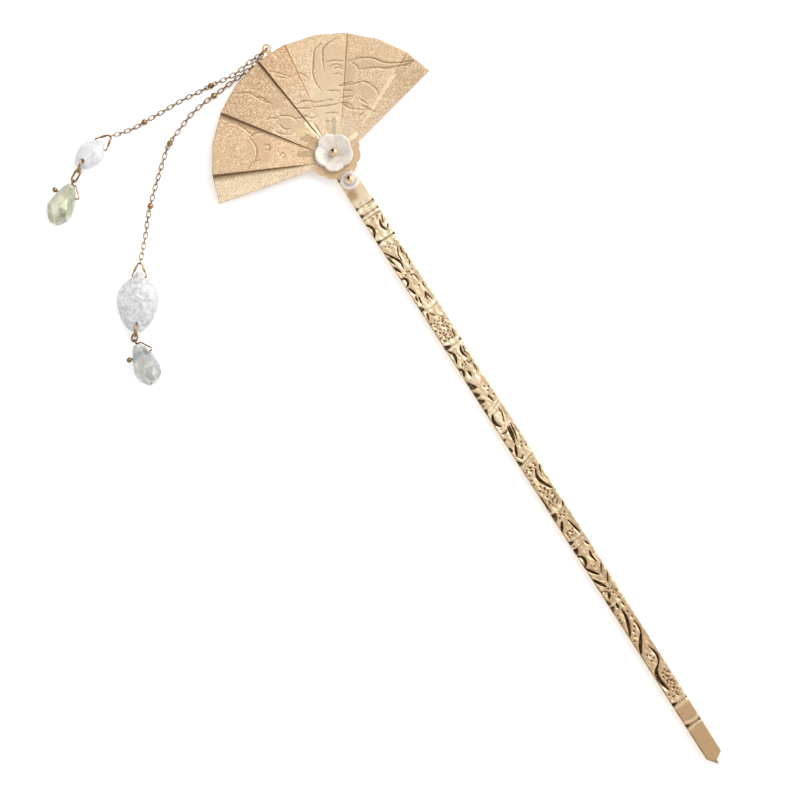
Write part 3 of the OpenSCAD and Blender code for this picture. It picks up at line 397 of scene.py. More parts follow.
dress("fan", frosted)
dress("small_bead", cloudyPearl())
for name in ("edge_ring", "long_chain", "long_bail", "long_leaf_ring", "long_oval_link", "long_drop_pin",
             "short_chain", "short_bail", "short_leaf_ring", "short_oval_link", "short_drop_pin"):
    dress(name, wire)
for name in ("flower_pin", "bead_pin"):
    dress(name, head)
dress("long_leaf", crackleGlass("crackleGlass", tint(183, 184, 182)))
dress("short_leaf", crackleGlass("paleCrackleGlass", tint(210, 210, 210)))
print("materials ready")


# Mesh helpers
def sheetGrid(columns, rows):
    # flat grid, to be shaped by the column and the row of each corner
    bm = bmesh.new()
    bmesh.ops.create_grid(bm, x_segments=columns, y_segments=rows, size=1)
    cells = [(v, round((v.co.x + 1) / 2 * columns), round((v.co.y + 1) / 2 * rows)) for v in bm.verts]
    return bm, cells


def faceUp(bm):
    bmesh.ops.recalc_face_normals(bm, faces=bm.faces)
    if sum(f.normal.z for f in bm.faces) < 0:
        bmesh.ops.reverse_faces(bm, faces=bm.faces)


def drawDown(bm, height):
    # new wall below the open edge; height says where each of its lower corners lies
    rim = [e for e in bm.edges if e.is_boundary]
    wall = bmesh.ops.extrude_edge_only(bm, edges=rim)["geom"]
    for vert in (g for g in wall if isinstance(g, bmesh.types.BMVert)):
        vert.co.z = height(vert)


def addLayer(piece, name, kind, domain, values):
    layer = piece.data.attributes.new(name, kind, domain)
    field = "color" if kind == "FLOAT_COLOR" else "value"
    layer.data.foreach_set(field, np.asarray(values, np.float32).ravel())


def finishPiece(bm, name, material, replaced=(), smooth=True):
    mesh = bpy.data.meshes.new(name)
    bm.to_mesh(mesh)
    bm.free()
    if smooth:
        mesh.shade_smooth()
    mesh.materials.append(material)
    piece = bpy.data.objects.new(name, mesh)
    bpy.context.scene.collection.objects.link(piece)
    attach(piece, "root")
    if replaced:
        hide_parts(*replaced)
    return piece


# Drops: the cut solids with a painted reflection tone for every facet
def cutDrop(node, name):
    bm = bmesh.new()
    bm.from_mesh(nodes[node].data)
    bmesh.ops.remove_doubles(bm, verts=bm.verts, dist=1e-6)
    piece = finishPiece(bm, name, coated[node], (node,), smooth=False)
    # painted reflection tone for every facet, from its normal
    tones = []
    for face in piece.data.polygons:
        tone = 0.5 + 0.5 * math.sin(face.normal.dot(Vector((9.0, 23.0, 5.0))))
        tones += [tone] * face.loop_total
    addLayer(piece, "facet", "FLOAT", "CORNER", tones)


cutDrop("long_drop", "longCutDrop")
cutDrop("short_drop", "shortCutDrop")
print("drops ready")


# Fan: engraved and grained skin over the pleated sheet
fanFace = {
    "radius": 28.0,                     # mm, as the rest here
    "centre": 0.35,                     # beside the stick's middle
    "halfAngle": 77.5,                  # degrees
    "probeAngle": 77.45,                # the skin takes its height from the sheet up to here
    "corners": (0.093, 0.279, 0.466, 0.650, 0.836, 1.0),   # shares of the half angle
    "step": 0.42,                       # degrees between columns
    "rows": 150,
    "inner": 0.1,                       # shares of the radius where the skin starts, under the
    "outer": 0.9985,                    # flower, and ends
    "turnDown": 0.12,                   # how far the skin's edge turns down into the sheet
    "lift": 0.07,
    "grooveDepth": 0.05,
    "satinLift": 0.02,
    "bankShift": (-0.26, -0.12),
    # painted light of the pleats: the tone each takes from the light, from the left edge to the right edge,
    # near the hub and at the rim
    "tones": (((208, 189, 162), (218, 199, 171)), ((203, 172, 140), (194, 164, 131)),
              ((198, 174, 145), (172, 144, 113)), ((217, 198, 170), (195, 159, 126)),
              ((236, 214, 182), (221, 194, 159)), ((214, 187, 158), (206, 178, 144)),
              ((205, 181, 152), (183, 157, 126))),
    "pleatLines": (-64.8, -36.1, -7.2, 7.2, 36.1, 64.8),
    # painted shadow on the outer side of each pleat line: width in degrees outwards, strength
    "shade": {-64.8: (3.8, 0.75), -36.1: (3.4, 0.6), -7.2: (0.8, 0.85)},
    # thin painted shade lines on the risers: half width in degrees, strength
    "thinShade": {-36.1: (0.6, 0.7), 7.2: (0.9, 0.7), 36.1: (0.8, 0.55)},
    "brightFold": 64.8,                 # degrees; the fold with a painted highlight
    "litTone": (255, 240, 206),         # painted highlight tone of that fold, of the banks beside the strokes and of two pads
}

# Engraved strokes of the plume, in mm from the fan's centre. Columns: width, then the points.
strokes = (
    (0.34, (10.6, 23.8), (8.9, 23.4), (8.1, 22.6), (7.0, 21.1), (5.7, 19.2), (5.1, 17.1), (5.3, 14.9)),
    (0.32, (14.0, 23.0), (11.4, 22.9), (10.3, 22.4), (9.2, 20.7), (8.1, 18.4)),
    (0.26, (9.4, 19.8), (11.1, 19.1), (12.7, 18.0)),
    (0.26, (10.3, 17.6), (11.2, 17.3), (11.7, 16.4)),
    (0.28, (3.0, 21.2), (3.8, 20.2), (4.3, 18.9)),
    (0.26, (6.2, 14.5), (7.4, 13.7), (8.6, 12.8)),
    (0.26, (9.1, 12.6), (10.1, 12.1), (11.1, 11.4)),
    (0.24, (9.3, 13.9), (10.8, 13.5), (12.2, 13.1)),
    (0.24, (5.4, 12.6), (6.3, 12.0)),
    (0.28, (1.6, 13.1), (4.6, 11.6), (7.0, 10.6)),
    (0.28, (-1.7, 14.8), (-0.2, 13.9), (1.2, 13.0)),
    (0.26, (-1.0, 15.3), (0.3, 15.3), (1.5, 15.0)),
    (0.30, (7.5, 10.6), (8.6, 9.7), (9.2, 8.5)),
    (0.26, (7.4, 10.4), (8.2, 9.4), (8.6, 8.2)),
    (0.24, (7.8, 11.5), (9.2, 11.0), (10.4, 10.4)),
    (0.36, (13.6, 17.4), (15.8, 16.8), (17.9, 15.6), (19.1, 14.4), (20.1, 13.0), (22.0, 11.6),
     (23.4, 10.9), (25.9, 10.0)),
    (0.30, (14.7, 14.6), (17.8, 13.1), (19.6, 11.8), (22.2, 10.6), (25.8, 9.7)),
    (0.34, (23.2, 10.9), (24.6, 10.5), (25.9, 9.9)),
    (0.28, (14.2, 16.8), (14.7, 15.7), (14.6, 14.7)),
    (0.28, (14.0, 11.9), (15.1, 10.4), (15.6, 8.8), (15.3, 7.6)),
    (0.28, (11.4, 9.1), (12.2, 7.2)),
    (0.30, (10.9, 7.7), (11.9, 6.3), (12.8, 4.7)),
    (0.26, (9.3, 6.0), (10.6, 6.1)),
    (0.28, (-6.5, 13.7), (-6.1, 12.3), (-5.0, 11.7)),
    (0.28, (-7.6, 21.5), (-6.6, 20.6), (-5.9, 19.2)),
    (0.26, (-12.1, 11.6), (-11.0, 11.3), (-11.2, 10.3), (-12.2, 10.6)),
    (0.26, (-10.2, 8.0), (-9.4, 8.2), (-9.1, 7.4), (-9.8, 7.2)),
    (0.26, (-3.2, 13.1), (-1.6, 12.4), (0.1, 12.2)),
    (0.26, (-8.8, 16.2), (-7.2, 15.8), (-5.9, 14.9)),
    (0.26, (-13.6, 14.8), (-12.2, 15.0), (-10.6, 14.4)),
    (0.24, (-17.6, 9.0), (-16.0, 9.8), (-14.2, 9.4)),
    (0.24, (3.2, 10.4), (4.6, 9.8), (5.8, 8.8)),
    (0.24, (2.4, 9.0), (3.4, 8.2)),
    (0.22, (-11.2, 24.6), (-8.5, 23.1), (-7.1, 20.4), (-5.4, 18.4)),
    (0.20, (-2.2, 24.7), (-0.3, 22.9), (1.3, 20.9)),
    (0.20, (-1.5, 22.9), (0.0, 21.5)),
    (0.24, (-6.7, 15.2), (-5.2, 15.1), (-3.3, 13.7), (-2.8, 12.0)),
    (0.30, (0.1, 10.1), (0.1, 8.5), (0.0, 7.1)),
    (0.24, (-1.4, 10.5), (-1.0, 8.8), (-0.8, 7.7)),
    (0.24, (8.9, 13.9), (11.9, 12.6), (13.9, 12.0), (15.2, 10.9)),
    (0.22, (7.1, 11.3), (8.1, 9.0), (9.3, 7.8), (11.7, 6.0)),
    (0.22, (9.3, 18.6), (11.2, 18.1), (12.1, 16.9)),
    (0.24, (-0.7, 15.4), (1.3, 14.8), (3.2, 13.4), (5.6, 12.6)),
    (0.22, (-13.6, 15.2), (-13.5, 12.3), (-14.5, 10.6), (-16.5, 9.0)),
    (0.22, (-14.2, 18.6), (-13.4, 16.7), (-12.8, 14.5)),
    (0.40, (22.9, 10.4), (24.2, 9.9), (25.9, 9.8)),
    (0.22, (-0.7, 12.2), (0.2, 11.1), (1.4, 10.7)),
    (0.22, (-8.3, 13.4), (-7.3, 11.8), (-5.5, 10.4)),
    (0.20, (9.0, 16.8), (10.3, 16.3), (10.9, 15.4)),
)

# Smooth areas between the grains, in mm: a point list round each.
smoothAreas = (
    ((8.5, 22.6), (10.8, 22.8), (13.6, 21.8), (15.0, 20.0), (13.9, 17.4), (14.4, 15.2), (12.3, 13.3),
     (11.9, 10.6), (9.0, 9.9), (7.2, 8.4), (4.6, 8.6), (2.6, 9.8), (1.3, 11.8), (0.0, 13.9),
     (2.6, 14.4), (5.0, 15.2), (5.7, 17.8), (7.2, 20.8)),
    ((12.9, 12.2), (14.0, 11.9), (15.1, 10.5), (15.6, 8.8), (15.0, 7.6), (12.8, 8.5), (12.0, 10.4)),
    ((14.9, 15.8), (17.9, 15.4), (19.8, 13.2), (22.0, 11.5), (25.6, 9.9), (21.8, 10.8), (17.8, 13.2),
     (14.9, 14.8)),
    ((-4.2, 15.4), (-2.2, 14.6), (-0.4, 13.0), (-0.6, 10.8), (-2.8, 9.6), (-5.4, 11.6), (-6.4, 13.8)),
    ((-13.4, 14.6), (-10.9, 13.2), (-9.9, 11.2), (-11.4, 9.2), (-13.8, 8.4), (-15.4, 10.6), (-15.0, 13.0)),
    ((-6.2, 20.6), (-4.4, 19.4), (-3.0, 16.8), (-4.6, 16.6), (-6.4, 18.4)),
)


def roundedPath(points, perSpan=6):
    # smooth run through the chosen points
    last = len(points) - 1
    path = []
    for i in range(last):
        a, b, c, d = (np.array(points[max(0, min(last, i + k))]) for k in (-1, 0, 1, 2))
        for t in np.linspace(0, 1, perSpan, endpoint=False):
            path.append((2 * b + (c - a) * t + (2 * a - 5 * b + 4 * c - d) * t ** 2
                         + (3 * b - a - 3 * c + d) * t ** 3) / 2)
    path.append(np.array(points[last]))
    return np.array(path)


def distanceToPath(spots, path):
    # least distance to a run of points, and how far along it, from 0 to 1
    best = np.full(len(spots), 1e9)
    along = np.zeros(len(spots))
    for i in range(len(path) - 1):
        start, step = path[i], path[i + 1] - path[i]
        t = np.clip(((spots - start) @ step) / (step @ step), 0, 1)
        gap = np.linalg.norm(spots - start - t[:, None] * step, axis=1)
        closer = gap < best
        best[closer] = gap[closer]
        along[closer] = ((i + t) / (len(path) - 1))[closer]
    return best, along


def insideLoop(spots, loop):
    # distance into a closed loop, negative outside
    inside = np.zeros(len(spots), bool)
    for (x0, y0), (x1, y1) in zip(loop, loop[1:]):
        if y0 != y1:
            crosses = (spots[:, 1] > y0) != (spots[:, 1] > y1)
            inside ^= crosses & (spots[:, 0] < (x1 - x0) * (spots[:, 1] - y0) / (y1 - y0) + x0)
    gap, _ = distanceToPath(spots, loop)
    return np.where(inside, gap, -gap)


def fanColumns():
    # column angles in degrees, with one on every corner of the rim
    half = fanFace["halfAngle"]
    corners = sorted({side * share * half for share in fanFace["corners"] for side in (-1, 1)})
    riser = 0.4
    edges = []
    for corner in corners:
        onLine = any(abs(corner - line) < 0.5 for line in fanFace["pleatLines"])
        edges += [corner - riser, corner + riser] if onLine else [corner]
    edges[0], edges[-1] = -half, half
    columns = [edges[0]]
    for low, high in zip(edges, edges[1:]):
        count = max(2, round((high - low) / fanFace["step"]))
        columns += [low + (high - low) * k / count for k in range(1, count + 1)]
    return np.array(columns), corners


def rimReach(angle, corners):
    # how far out the straight chord between two corners lies at an angle
    spots = [-fanFace["halfAngle"]] + corners[1:-1] + [fanFace["halfAngle"]]
    for low, high in zip(spots, spots[1:]):
        if angle <= high + 1e-6:
            middle = (low + high) / 2
            return (fanFace["radius"] * math.cos(math.radians((high - low) / 2))
                    / math.cos(math.radians(angle - middle)))
    return fanFace["radius"]


def nodeTree(node):
    bm = bmesh.new()
    bm.from_mesh(nodes[node].data)
    tree = BVHTree.FromBMesh(bm)
    bm.free()
    return tree


def topOf(tree, x, y):
    hit = tree.ray_cast(Vector((x, y, 0.05)), Vector((0, 0, -1)))
    return hit[0].z if hit[0] is not None else None


def engravedFan():
    columns, corners = fanColumns()
    rows = np.linspace(fanFace["inner"], fanFace["outer"], fanFace["rows"])
    bm, cells = sheetGrid(len(columns) - 1, len(rows) - 1)
    tree = nodeTree("fan")
    reach = [rimReach(a, corners) for a in columns]
    limit = math.radians(fanFace["probeAngle"])
    lastZ = 0.003
    for vert, column, row in cells:
        angle, radius = math.radians(columns[column]), reach[column] * rows[row] * mm
        inward = min(max(angle, -limit), limit)
        x, y = radius * math.sin(inward) + fanFace["centre"] * mm, radius * math.cos(inward)
        height = topOf(tree, x, y)
        lastZ = height if height is not None else lastZ
        vert.co = (x, y, lastZ + fanFace["lift"] * mm)
    spots = np.array([v.co[:2] for v in bm.verts]) / mm
    # lines, and the painted highlight on the bank at the side of each that faces the light
    line = np.zeros(len(spots))
    bank = np.zeros(len(spots))
    for width, *points in strokes:
        path = roundedPath(points)
        for field, shift in ((line, (0, 0)), (bank, fanFace["bankShift"])):
            gap, along = distanceToPath(spots, path + np.array(shift))
            taper = width * (0.4 + 0.6 * np.sin(np.pi * np.clip(along, 0.02, 0.98)))
            np.maximum(field, 1 - smoothStep(0.3, 0.8, gap / taper), out=field)
    bank = bank * (1 - line)
    # smooth areas
    satin = np.zeros(len(spots))
    for outline in smoothAreas:
        inward = insideLoop(spots, roundedPath(outline + (outline[0],)))
        satin = np.maximum(satin, smoothStep(-0.15, 0.15, inward))
    # pads round the flower
    angle = np.degrees(np.arctan2(spots[:, 0] - fanFace["centre"], spots[:, 1]))
    # the pads' tones are painted reflections
    pad, padReflectedTone = hubPads(spots)
    satin = np.maximum(satin, pad)
    # painted shadow on the dark side of the pleats, and thin painted shade lines
    radius = np.linalg.norm(spots, axis=1)
    shade = np.zeros(len(spots))
    for at, (width, strength) in fanFace["shade"].items():
        out = at - angle
        band = np.where(out > -0.5, 1 - smoothStep(0, 1, out / width), 0)
        shade = np.maximum(shade, strength * band)
    for at, (half, strength) in fanFace["thinShade"].items():
        shade = np.maximum(shade, strength * (1 - smoothStep(0.45, 1, abs(angle - at) / half)))
    shade = shade * smoothStep(5.5, 9, radius)
    for vert, groove, rise in zip(bm.verts, line, satin):
        vert.co.z += (fanFace["satinLift"] * rise - fanFace["grooveDepth"] * groove) * mm
    faceUp(bm)
    drawDown(bm, lambda vert: vert.co.z - fanFace["turnDown"] * mm)
    extra = len(bm.verts) - len(spots)
    piece = finishPiece(bm, "engravedFanFace", frostedGold("engravedGold", True))
    marks = np.stack([line, satin, shade, np.ones(len(spots))], axis=1)
    # painted highlight along the fold that faces the light, and on the banks
    fold = (1 - smoothStep(0.5, 1.1, abs(angle - fanFace["brightFold"]))) * smoothStep(9, 11, radius)
    bright = np.maximum(0.42 * bank, 0.9 * fold * (1 - smoothStep(22, 24, radius)))
    tones = panelTones(angle, radius, pad, padReflectedTone, bright)
    for name, values in (("engraving", marks), ("panelPaintedLight", tones)):
        values = np.concatenate([values, values[:1].repeat(extra, axis=0)])
        addLayer(piece, name, "FLOAT_COLOR", "POINT", values)


# Polished pads that stand round the flower, with painted reflections. Columns: angle from the top,
# inner and outer radius about the flower, half width, tone of the painted reflection.
pinLow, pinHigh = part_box("flower_pin")
hubCentre = ((pinLow.x + pinHigh.x) / 2 / mm, (pinLow.y + pinHigh.y) / 2 / mm)
pads = (
    (-60, 4.4, 8.2, 0.75, (172, 150, 116)),
    (-44, 4.4, 6.4, 0.75, (178, 156, 122)),
    (-29, 4.4, 8.6, 0.95, (168, 144, 108)),
    (-27, 8.2, 9.6, 0.8, (204, 178, 142)),
    (-5, 4.6, 7.4, 0.5, (214, 182, 150)),
    (-12, 4.6, 9.2, 0.26, fanFace["litTone"]),
    (-7, 4.6, 8.4, 0.26, fanFace["litTone"]),
    (20, 4.6, 8.0, 0.5, (224, 196, 166)),
    (32, 4.6, 7.9, 0.55, (198, 182, 152)),
    (46, 4.6, 7.8, 0.6, (228, 212, 176)),
    (61, 4.6, 8.6, 0.6, (214, 200, 180)),
    (82, 4.6, 6.8, 0.5, (250, 234, 200)),
)


def flatTint(colour):
    return np.array(tint(*colour)[:3])


def hubPads(spots):
    mask = np.zeros(len(spots))
    tones = np.zeros((len(spots), 3))
    for angle, inner, outer, half, tone in pads:
        way = np.array((math.sin(math.radians(angle)), math.cos(math.radians(angle))))
        start = np.array(hubCentre) + inner * way
        end = np.array(hubCentre) + (outer - half) * way
        gap, _ = distanceToPath(spots, np.array([start, end]))
        inside = 1 - smoothStep(half - 0.12, half + 0.05, gap)
        mask = np.maximum(mask, inside)
        tones = np.where(inside[:, None] > 0.02, flatTint(tone), tones)
    return mask, tones


# painted light of each pleat, from hub to rim, with the painted highlights and the pads' painted reflections
def panelTones(angle, radius, pad, padReflectedTone, bright):
    panel = np.searchsorted(np.array(fanFace["pleatLines"]), angle)
    nearHub, atRim = (np.array([flatTint(pair[end]) for pair in fanFace["tones"]])[panel] for end in (0, 1))
    tones = nearHub
    for share, tone in ((smoothStep(8, 26, radius), atRim), (bright, flatTint(fanFace["litTone"])),
                        (pad, padReflectedTone)):
        tones = tones * (1 - share[:, None]) + tone * share[:, None]
    return np.concatenate([tones, np.ones((len(tones), 1))], axis=1)


engravedFan()
print("fan face ready")

# Stick: cast relief of its upper face, dark in the carving, with painted highlight and shade
stick = {
    "tail": 5.2,                # mm past the fan's centre, as the rest here
    "length": 156.7,
    "halfTop": 2.35,            # half widths at the fan and at the point
    "halfTip": 1.9,
    "thick": 2.2,
    "pointLength": 2.2,
    "pointHalf": 0.35,
    "columns": 48,
    "rowStep": 0.104,
    "edgeRound": 0.34,          # how far in the worn edge reaches, and how far it drops
    "edgeDrop": 0.16,
    "shoulder": 0.5,            # how much the forms slope down to the cuts
    "unevenness": 0.05,         # height of the slow waves in the cast face
    "ribPitch": 0.62,           # of the fine lines across the bands
    "tipTone": 0.55,            # how much browner the face gets towards the point, a painted darker reflection
    "chartShift": 0.1,          # the chart's middle lies this far beside the stick's
    "chartEdge": 2.8,           # where the chart's wedges start, outside the stick
    "carvedFrom": 10,           # the carving runs from here
    "carvedTo": 141,            # to here, then the ground is plain and browner, a painted darker reflection
    "wedgeDepth": 0.56,
    "dotPitch": 1.12,           # of the fine dots in the punched ground
    "faceDrop": 0.12,           # how far the plain face lies below the full thickness
    "wallTop": 0.12,            # how far the side wall's upper edge lies below the face
}

# Chart of the carving in mm: X across the stick and the distance down from the fan's centre.
# Wedges are filled outlines at the edges. Columns: side, distance down where it starts, the
# points inwards, distance down where it ends.
wedges = (
    (-1, 10.3, (-1.5, 11.05), 11.8), (1, 10.5, (1.8, 11.05), 11.6), (-1, 12.2, (-1.3, 12.95), 13.7),
    (1, 12.4, (1.8, 12.95), 13.5), (-1, 19.0, (-1.0, 19.75), 20.4), (1, 19.2, (1.6, 19.75), 20.3),
    (-1, 36.0, (-1.6, 36.7), (-1.1, 37.6), 37.7), (-1, 46.3, (-0.4, 47.5), 47.9),
    (1, 46.6, (1.4, 47.2), 47.8), (-1, 55.6, (-1.8, 56.0), (-0.5, 58.3), 58.0),
    (-1, 58.5, (-1.7, 58.9), (-0.8, 60.1), 60.1), (-1, 60.4, (-1.7, 60.7), (-0.6, 61.8), 61.7),
    (-1, 63.0, (-1.3, 63.5), (-1.8, 64.6), 64.9), (-1, 70.6, (-1.2, 71.3), 71.9),
    (-1, 76.2, (-1.8, 76.6), (-1.0, 77.8), 78.3), (-1, 90.6, (-0.8, 90.9), (-1.2, 92.2), 92.9),
    (-1, 97.5, (-0.7, 98.3), 98.9), (-1, 99.7, (-0.8, 100.0), (-1.3, 101.0), 101.3),
    (-1, 112.9, (-1.6, 113.2), (-1.1, 114.3), 114.5), (-1, 114.9, (-0.9, 115.0), (-1.4, 116.0), 116.3),
    (-1, 139.6, (-0.4, 140.45), 141.0), (1, 139.8, (1.5, 140.35), 140.9), (-1, 145.2, (-0.7, 146.0), 146.8),
    (1, 145.4, (1.2, 146.0), 146.6))

crossLines = (11.05, 12.95, 14, 19.75, 146)

# Cuts by their depth. Columns: width, then the points.
cuts = {
    0.52: (
        (0.5, (-2.1, 15.0), (-1.5, 15.9), (-1.3, 16.7), (-1.55, 17.6), (-2.1, 18.4)),
        (0.38, (1.1, 15.6), (0.7, 16.5), (0.7, 17.3), (1.2, 18.4)),
        (0.42, (-2.0, 22.4), (-1.2, 23.8), (-0.5, 25.0), (-0.1, 26.2), (-0.3, 27.5)),
        (0.32, (-2.0, 23.6), (-1.75, 24.6), (-1.5, 25.8)), (0.42, (-2.0, 26.2), (-1.6, 27.0), (-1.2, 28.1)),
        (0.42, (-2.0, 29.25), (-1.3, 29.5), (-1.0, 30.2), (-1.25, 30.95), (-1.95, 31.4)),
        (0.46, (-1.7, 31.8), (-1.35, 32.7), (-1.0, 33.7)),
        (0.5, (-1.8, 48.2), (-1.2, 49.2), (-1.15, 50.2), (-1.6, 51.5)),
        (0.38, (1.15, 48.6), (0.75, 49.5), (0.75, 50.4), (1.15, 51.4)),
        (0.46, (-1.8, 52.7), (-1.35, 53.7), (-1.75, 54.8)),
        (0.42, (-0.35, 54.2), (-0.3, 54.8), (-0.4, 55.5)), (0.34, (0.55, 60.9), (0.65, 61.8), (0.85, 62.7)),
        (0.54, (-1.0, 65.2), (-1.5, 66.2), (-1.5, 67.3), (-0.8, 68.4)),
        (0.34, (0.4, 69.2), (0.15, 71.0), (-0.15, 73.2)), (0.44, (-0.3, 73.4), (-0.8, 74.6), (-1.4, 75.9)),
        (0.44, (-1.8, 73.3), (-1.65, 74.4)),
        (0.56, (0.65, 80.4), (0.1, 81.5), (0.05, 82.7), (0.4, 83.8), (0.9, 84.7), (1.5, 85.7)),
        (0.46, (-0.6, 93.1), (-1.2, 94.0), (-1.75, 95.1)),
        (0.36, (0.7, 93.6), (1.0, 95.2), (1.25, 96.3), (1.4, 97.5)),
        (0.48, (-1.9, 101.5), (-1.1, 102.2), (-0.95, 103.1), (-1.2, 103.9), (-1.9, 104.5)),
        (0.36, (1.1, 101.8), (0.8, 102.9), (1.05, 104.5)),
        (0.48, (-1.8, 104.8), (-1.0, 106.0), (0.0, 107.4)),
        (0.54, (-1.8, 107.7), (-1.0, 109.1), (-0.1, 110.5)),
        (0.48, (-0.45, 111.8), (-0.55, 112.5), (-0.95, 113.1)), (0.42, (-0.2, 114.8), (-0.3, 116.0)),
        (0.52, (0.15, 116.5), (0.05, 118.4), (-0.4, 120.0), (-0.95, 121.4), (-1.5, 122.6)),
        (0.6, (0.8, 123.3), (-0.2, 124.8), (-0.9, 125.8), (-1.5, 127.1)),
        (0.34, (0.7, 126.5), (1.15, 127.8), (1.3, 129.2), (0.95, 130.4), (0.3, 131.2)),
        (0.64, (0.3, 131.2), (-0.6, 131.9), (-1.1, 133.0), (-1.15, 134.5), (-0.9, 135.8), (-0.6, 137.1))),
    0.36: (
        (0.26, (2.0, 15.0), (1.6, 15.8), (1.5, 16.6)), (0.24, (2.0, 17.2), (1.6, 18.2)),
        (0.28, (1.3, 22.7), (0.7, 23.6), (0.35, 24.7), (0.4, 25.8)),
        (0.32, (1.7, 22.9), (1.45, 24.0), (1.55, 25.0)), (0.24, (2.0, 24.9), (1.75, 25.6), (1.7, 26.3)),
        (0.24, (1.8, 26.6), (1.3, 27.5)), (0.28, (0.95, 29.6), (1.15, 30.6), (1.2, 31.5)),
        (0.26, (1.7, 32.2), (1.5, 32.8), (1.65, 33.5)), (0.38, (-1.3, 34.1), (-1.5, 34.7), (-1.5, 35.3)),
        (0.32, (-0.75, 34.6), (-0.95, 35.4), (-1.0, 36.4)),
        (0.22, (0.75, 34.5), (0.65, 35.3), (0.65, 36.2)), (0.3, (1.05, 34.1), (1.1, 35.1), (1.5, 36.4)),
        (0.44, (-1.2, 38.6), (-1.45, 39.4), (-1.7, 40.2)), (0.28, (-0.7, 38.8), (-0.35, 39.4), (0.1, 40.0)),
        (0.26, (1.7, 44.4), (1.4, 45.3), (1.55, 46.0)), (0.24, (1.7, 48.8), (1.45, 50.0), (1.7, 51.4)),
        (0.28, (1.4, 53.4), (1.5, 54.2), (1.3, 55.2)), (0.26, (1.0, 64.4), (0.95, 66.1), (0.3, 67.9)),
        (0.24, (-1.6, 69.8), (-0.7, 70.0), (-0.1, 69.6)), (0.26, (0.85, 69.0), (0.6, 70.7), (0.25, 72.6)),
        (0.26, (1.35, 68.8), (1.2, 70.5), (0.8, 72.4)), (0.28, (-1.1, 76.2), (-0.6, 76.7), (0.0, 76.1)),
        (0.28, (1.9, 79.9), (1.5, 80.7), (1.35, 81.6)), (0.28, (-1.6, 86.2), (-1.7, 88.2), (-1.5, 90.3)),
        (0.32, (1.85, 89.4), (1.4, 90.5)), (0.36, (1.25, 99.4), (1.7, 100.6)),
        (0.34, (1.8, 105.4), (1.2, 106.4), (0.6, 107.4)), (0.34, (1.8, 107.9), (1.2, 109.0), (0.7, 110.0)),
        (0.28, (1.0, 113.6), (1.05, 114.4)), (0.28, (1.0, 115.1), (1.1, 116.2)),
        (0.32, (1.1, 120.0), (1.25, 121.4), (1.15, 122.5), (0.75, 123.7))),
    0.15: (
        (0.18, (-0.6, 15.8), (-0.75, 16.8), (-0.6, 17.9)), (0.2, (0.9, 24.0), (0.95, 25.3), (0.7, 26.6)),
        (0.18, (-0.2, 34.8), (-0.25, 35.6), (-0.2, 36.4)), (0.2, (0.3, 34.7), (0.2, 35.5), (0.1, 36.4)),
        (0.26, (-1.2, 37.8), (0.2, 38.1), (2.0, 37.6)), (0.22, (1.3, 38.8), (1.1, 39.8)),
        (0.26, (-0.4, 47.6), (0.6, 47.5), (1.5, 47.3)), (0.18, (-0.3, 48.8), (-0.4, 50.0), (-0.2, 51.2)),
        (0.22, (-0.4, 58.4), (0.4, 57.9), (1.7, 57.2)), (0.24, (-1.4, 64.8), (0.1, 64.0), (2.0, 63.1)),
        (0.22, (1.6, 65.3), (1.25, 67.0), (0.7, 68.5)), (0.22, (-1.7, 69.0), (-0.5, 68.9), (0.3, 68.3)),
        (0.22, (1.8, 69.4), (1.65, 71.4), (1.3, 73.4)), (0.24, (-0.9, 77.9), (0.4, 77.4), (2.0, 76.9)),
        (0.22, (-1.7, 78.9), (0.2, 78.2), (2.0, 77.9)), (0.2, (0.9, 81.4), (0.85, 82.6), (1.35, 84.3)),
        (0.2, (1.5, 82.0), (1.4, 83.1), (1.75, 84.4)), (0.24, (-0.7, 90.8), (0.4, 90.8), (1.4, 90.4)),
        (0.24, (-0.7, 98.3), (0.6, 98.15), (1.9, 98.0)), (0.22, (-0.8, 99.9), (0.4, 99.6), (1.3, 99.4)),
        (0.22, (1.6, 102.1), (1.4, 103.2), (1.6, 104.4)),
        (0.2, (-0.9, 105.2), (-0.3, 106.2), (0.3, 106.5), (1.0, 105.7)),
        (0.2, (-1.1, 107.7), (-0.2, 108.9), (0.4, 109.1), (1.1, 108.1)),
        (0.24, (-0.5, 140.45), (0.6, 140.4), (1.6, 140.35)))}

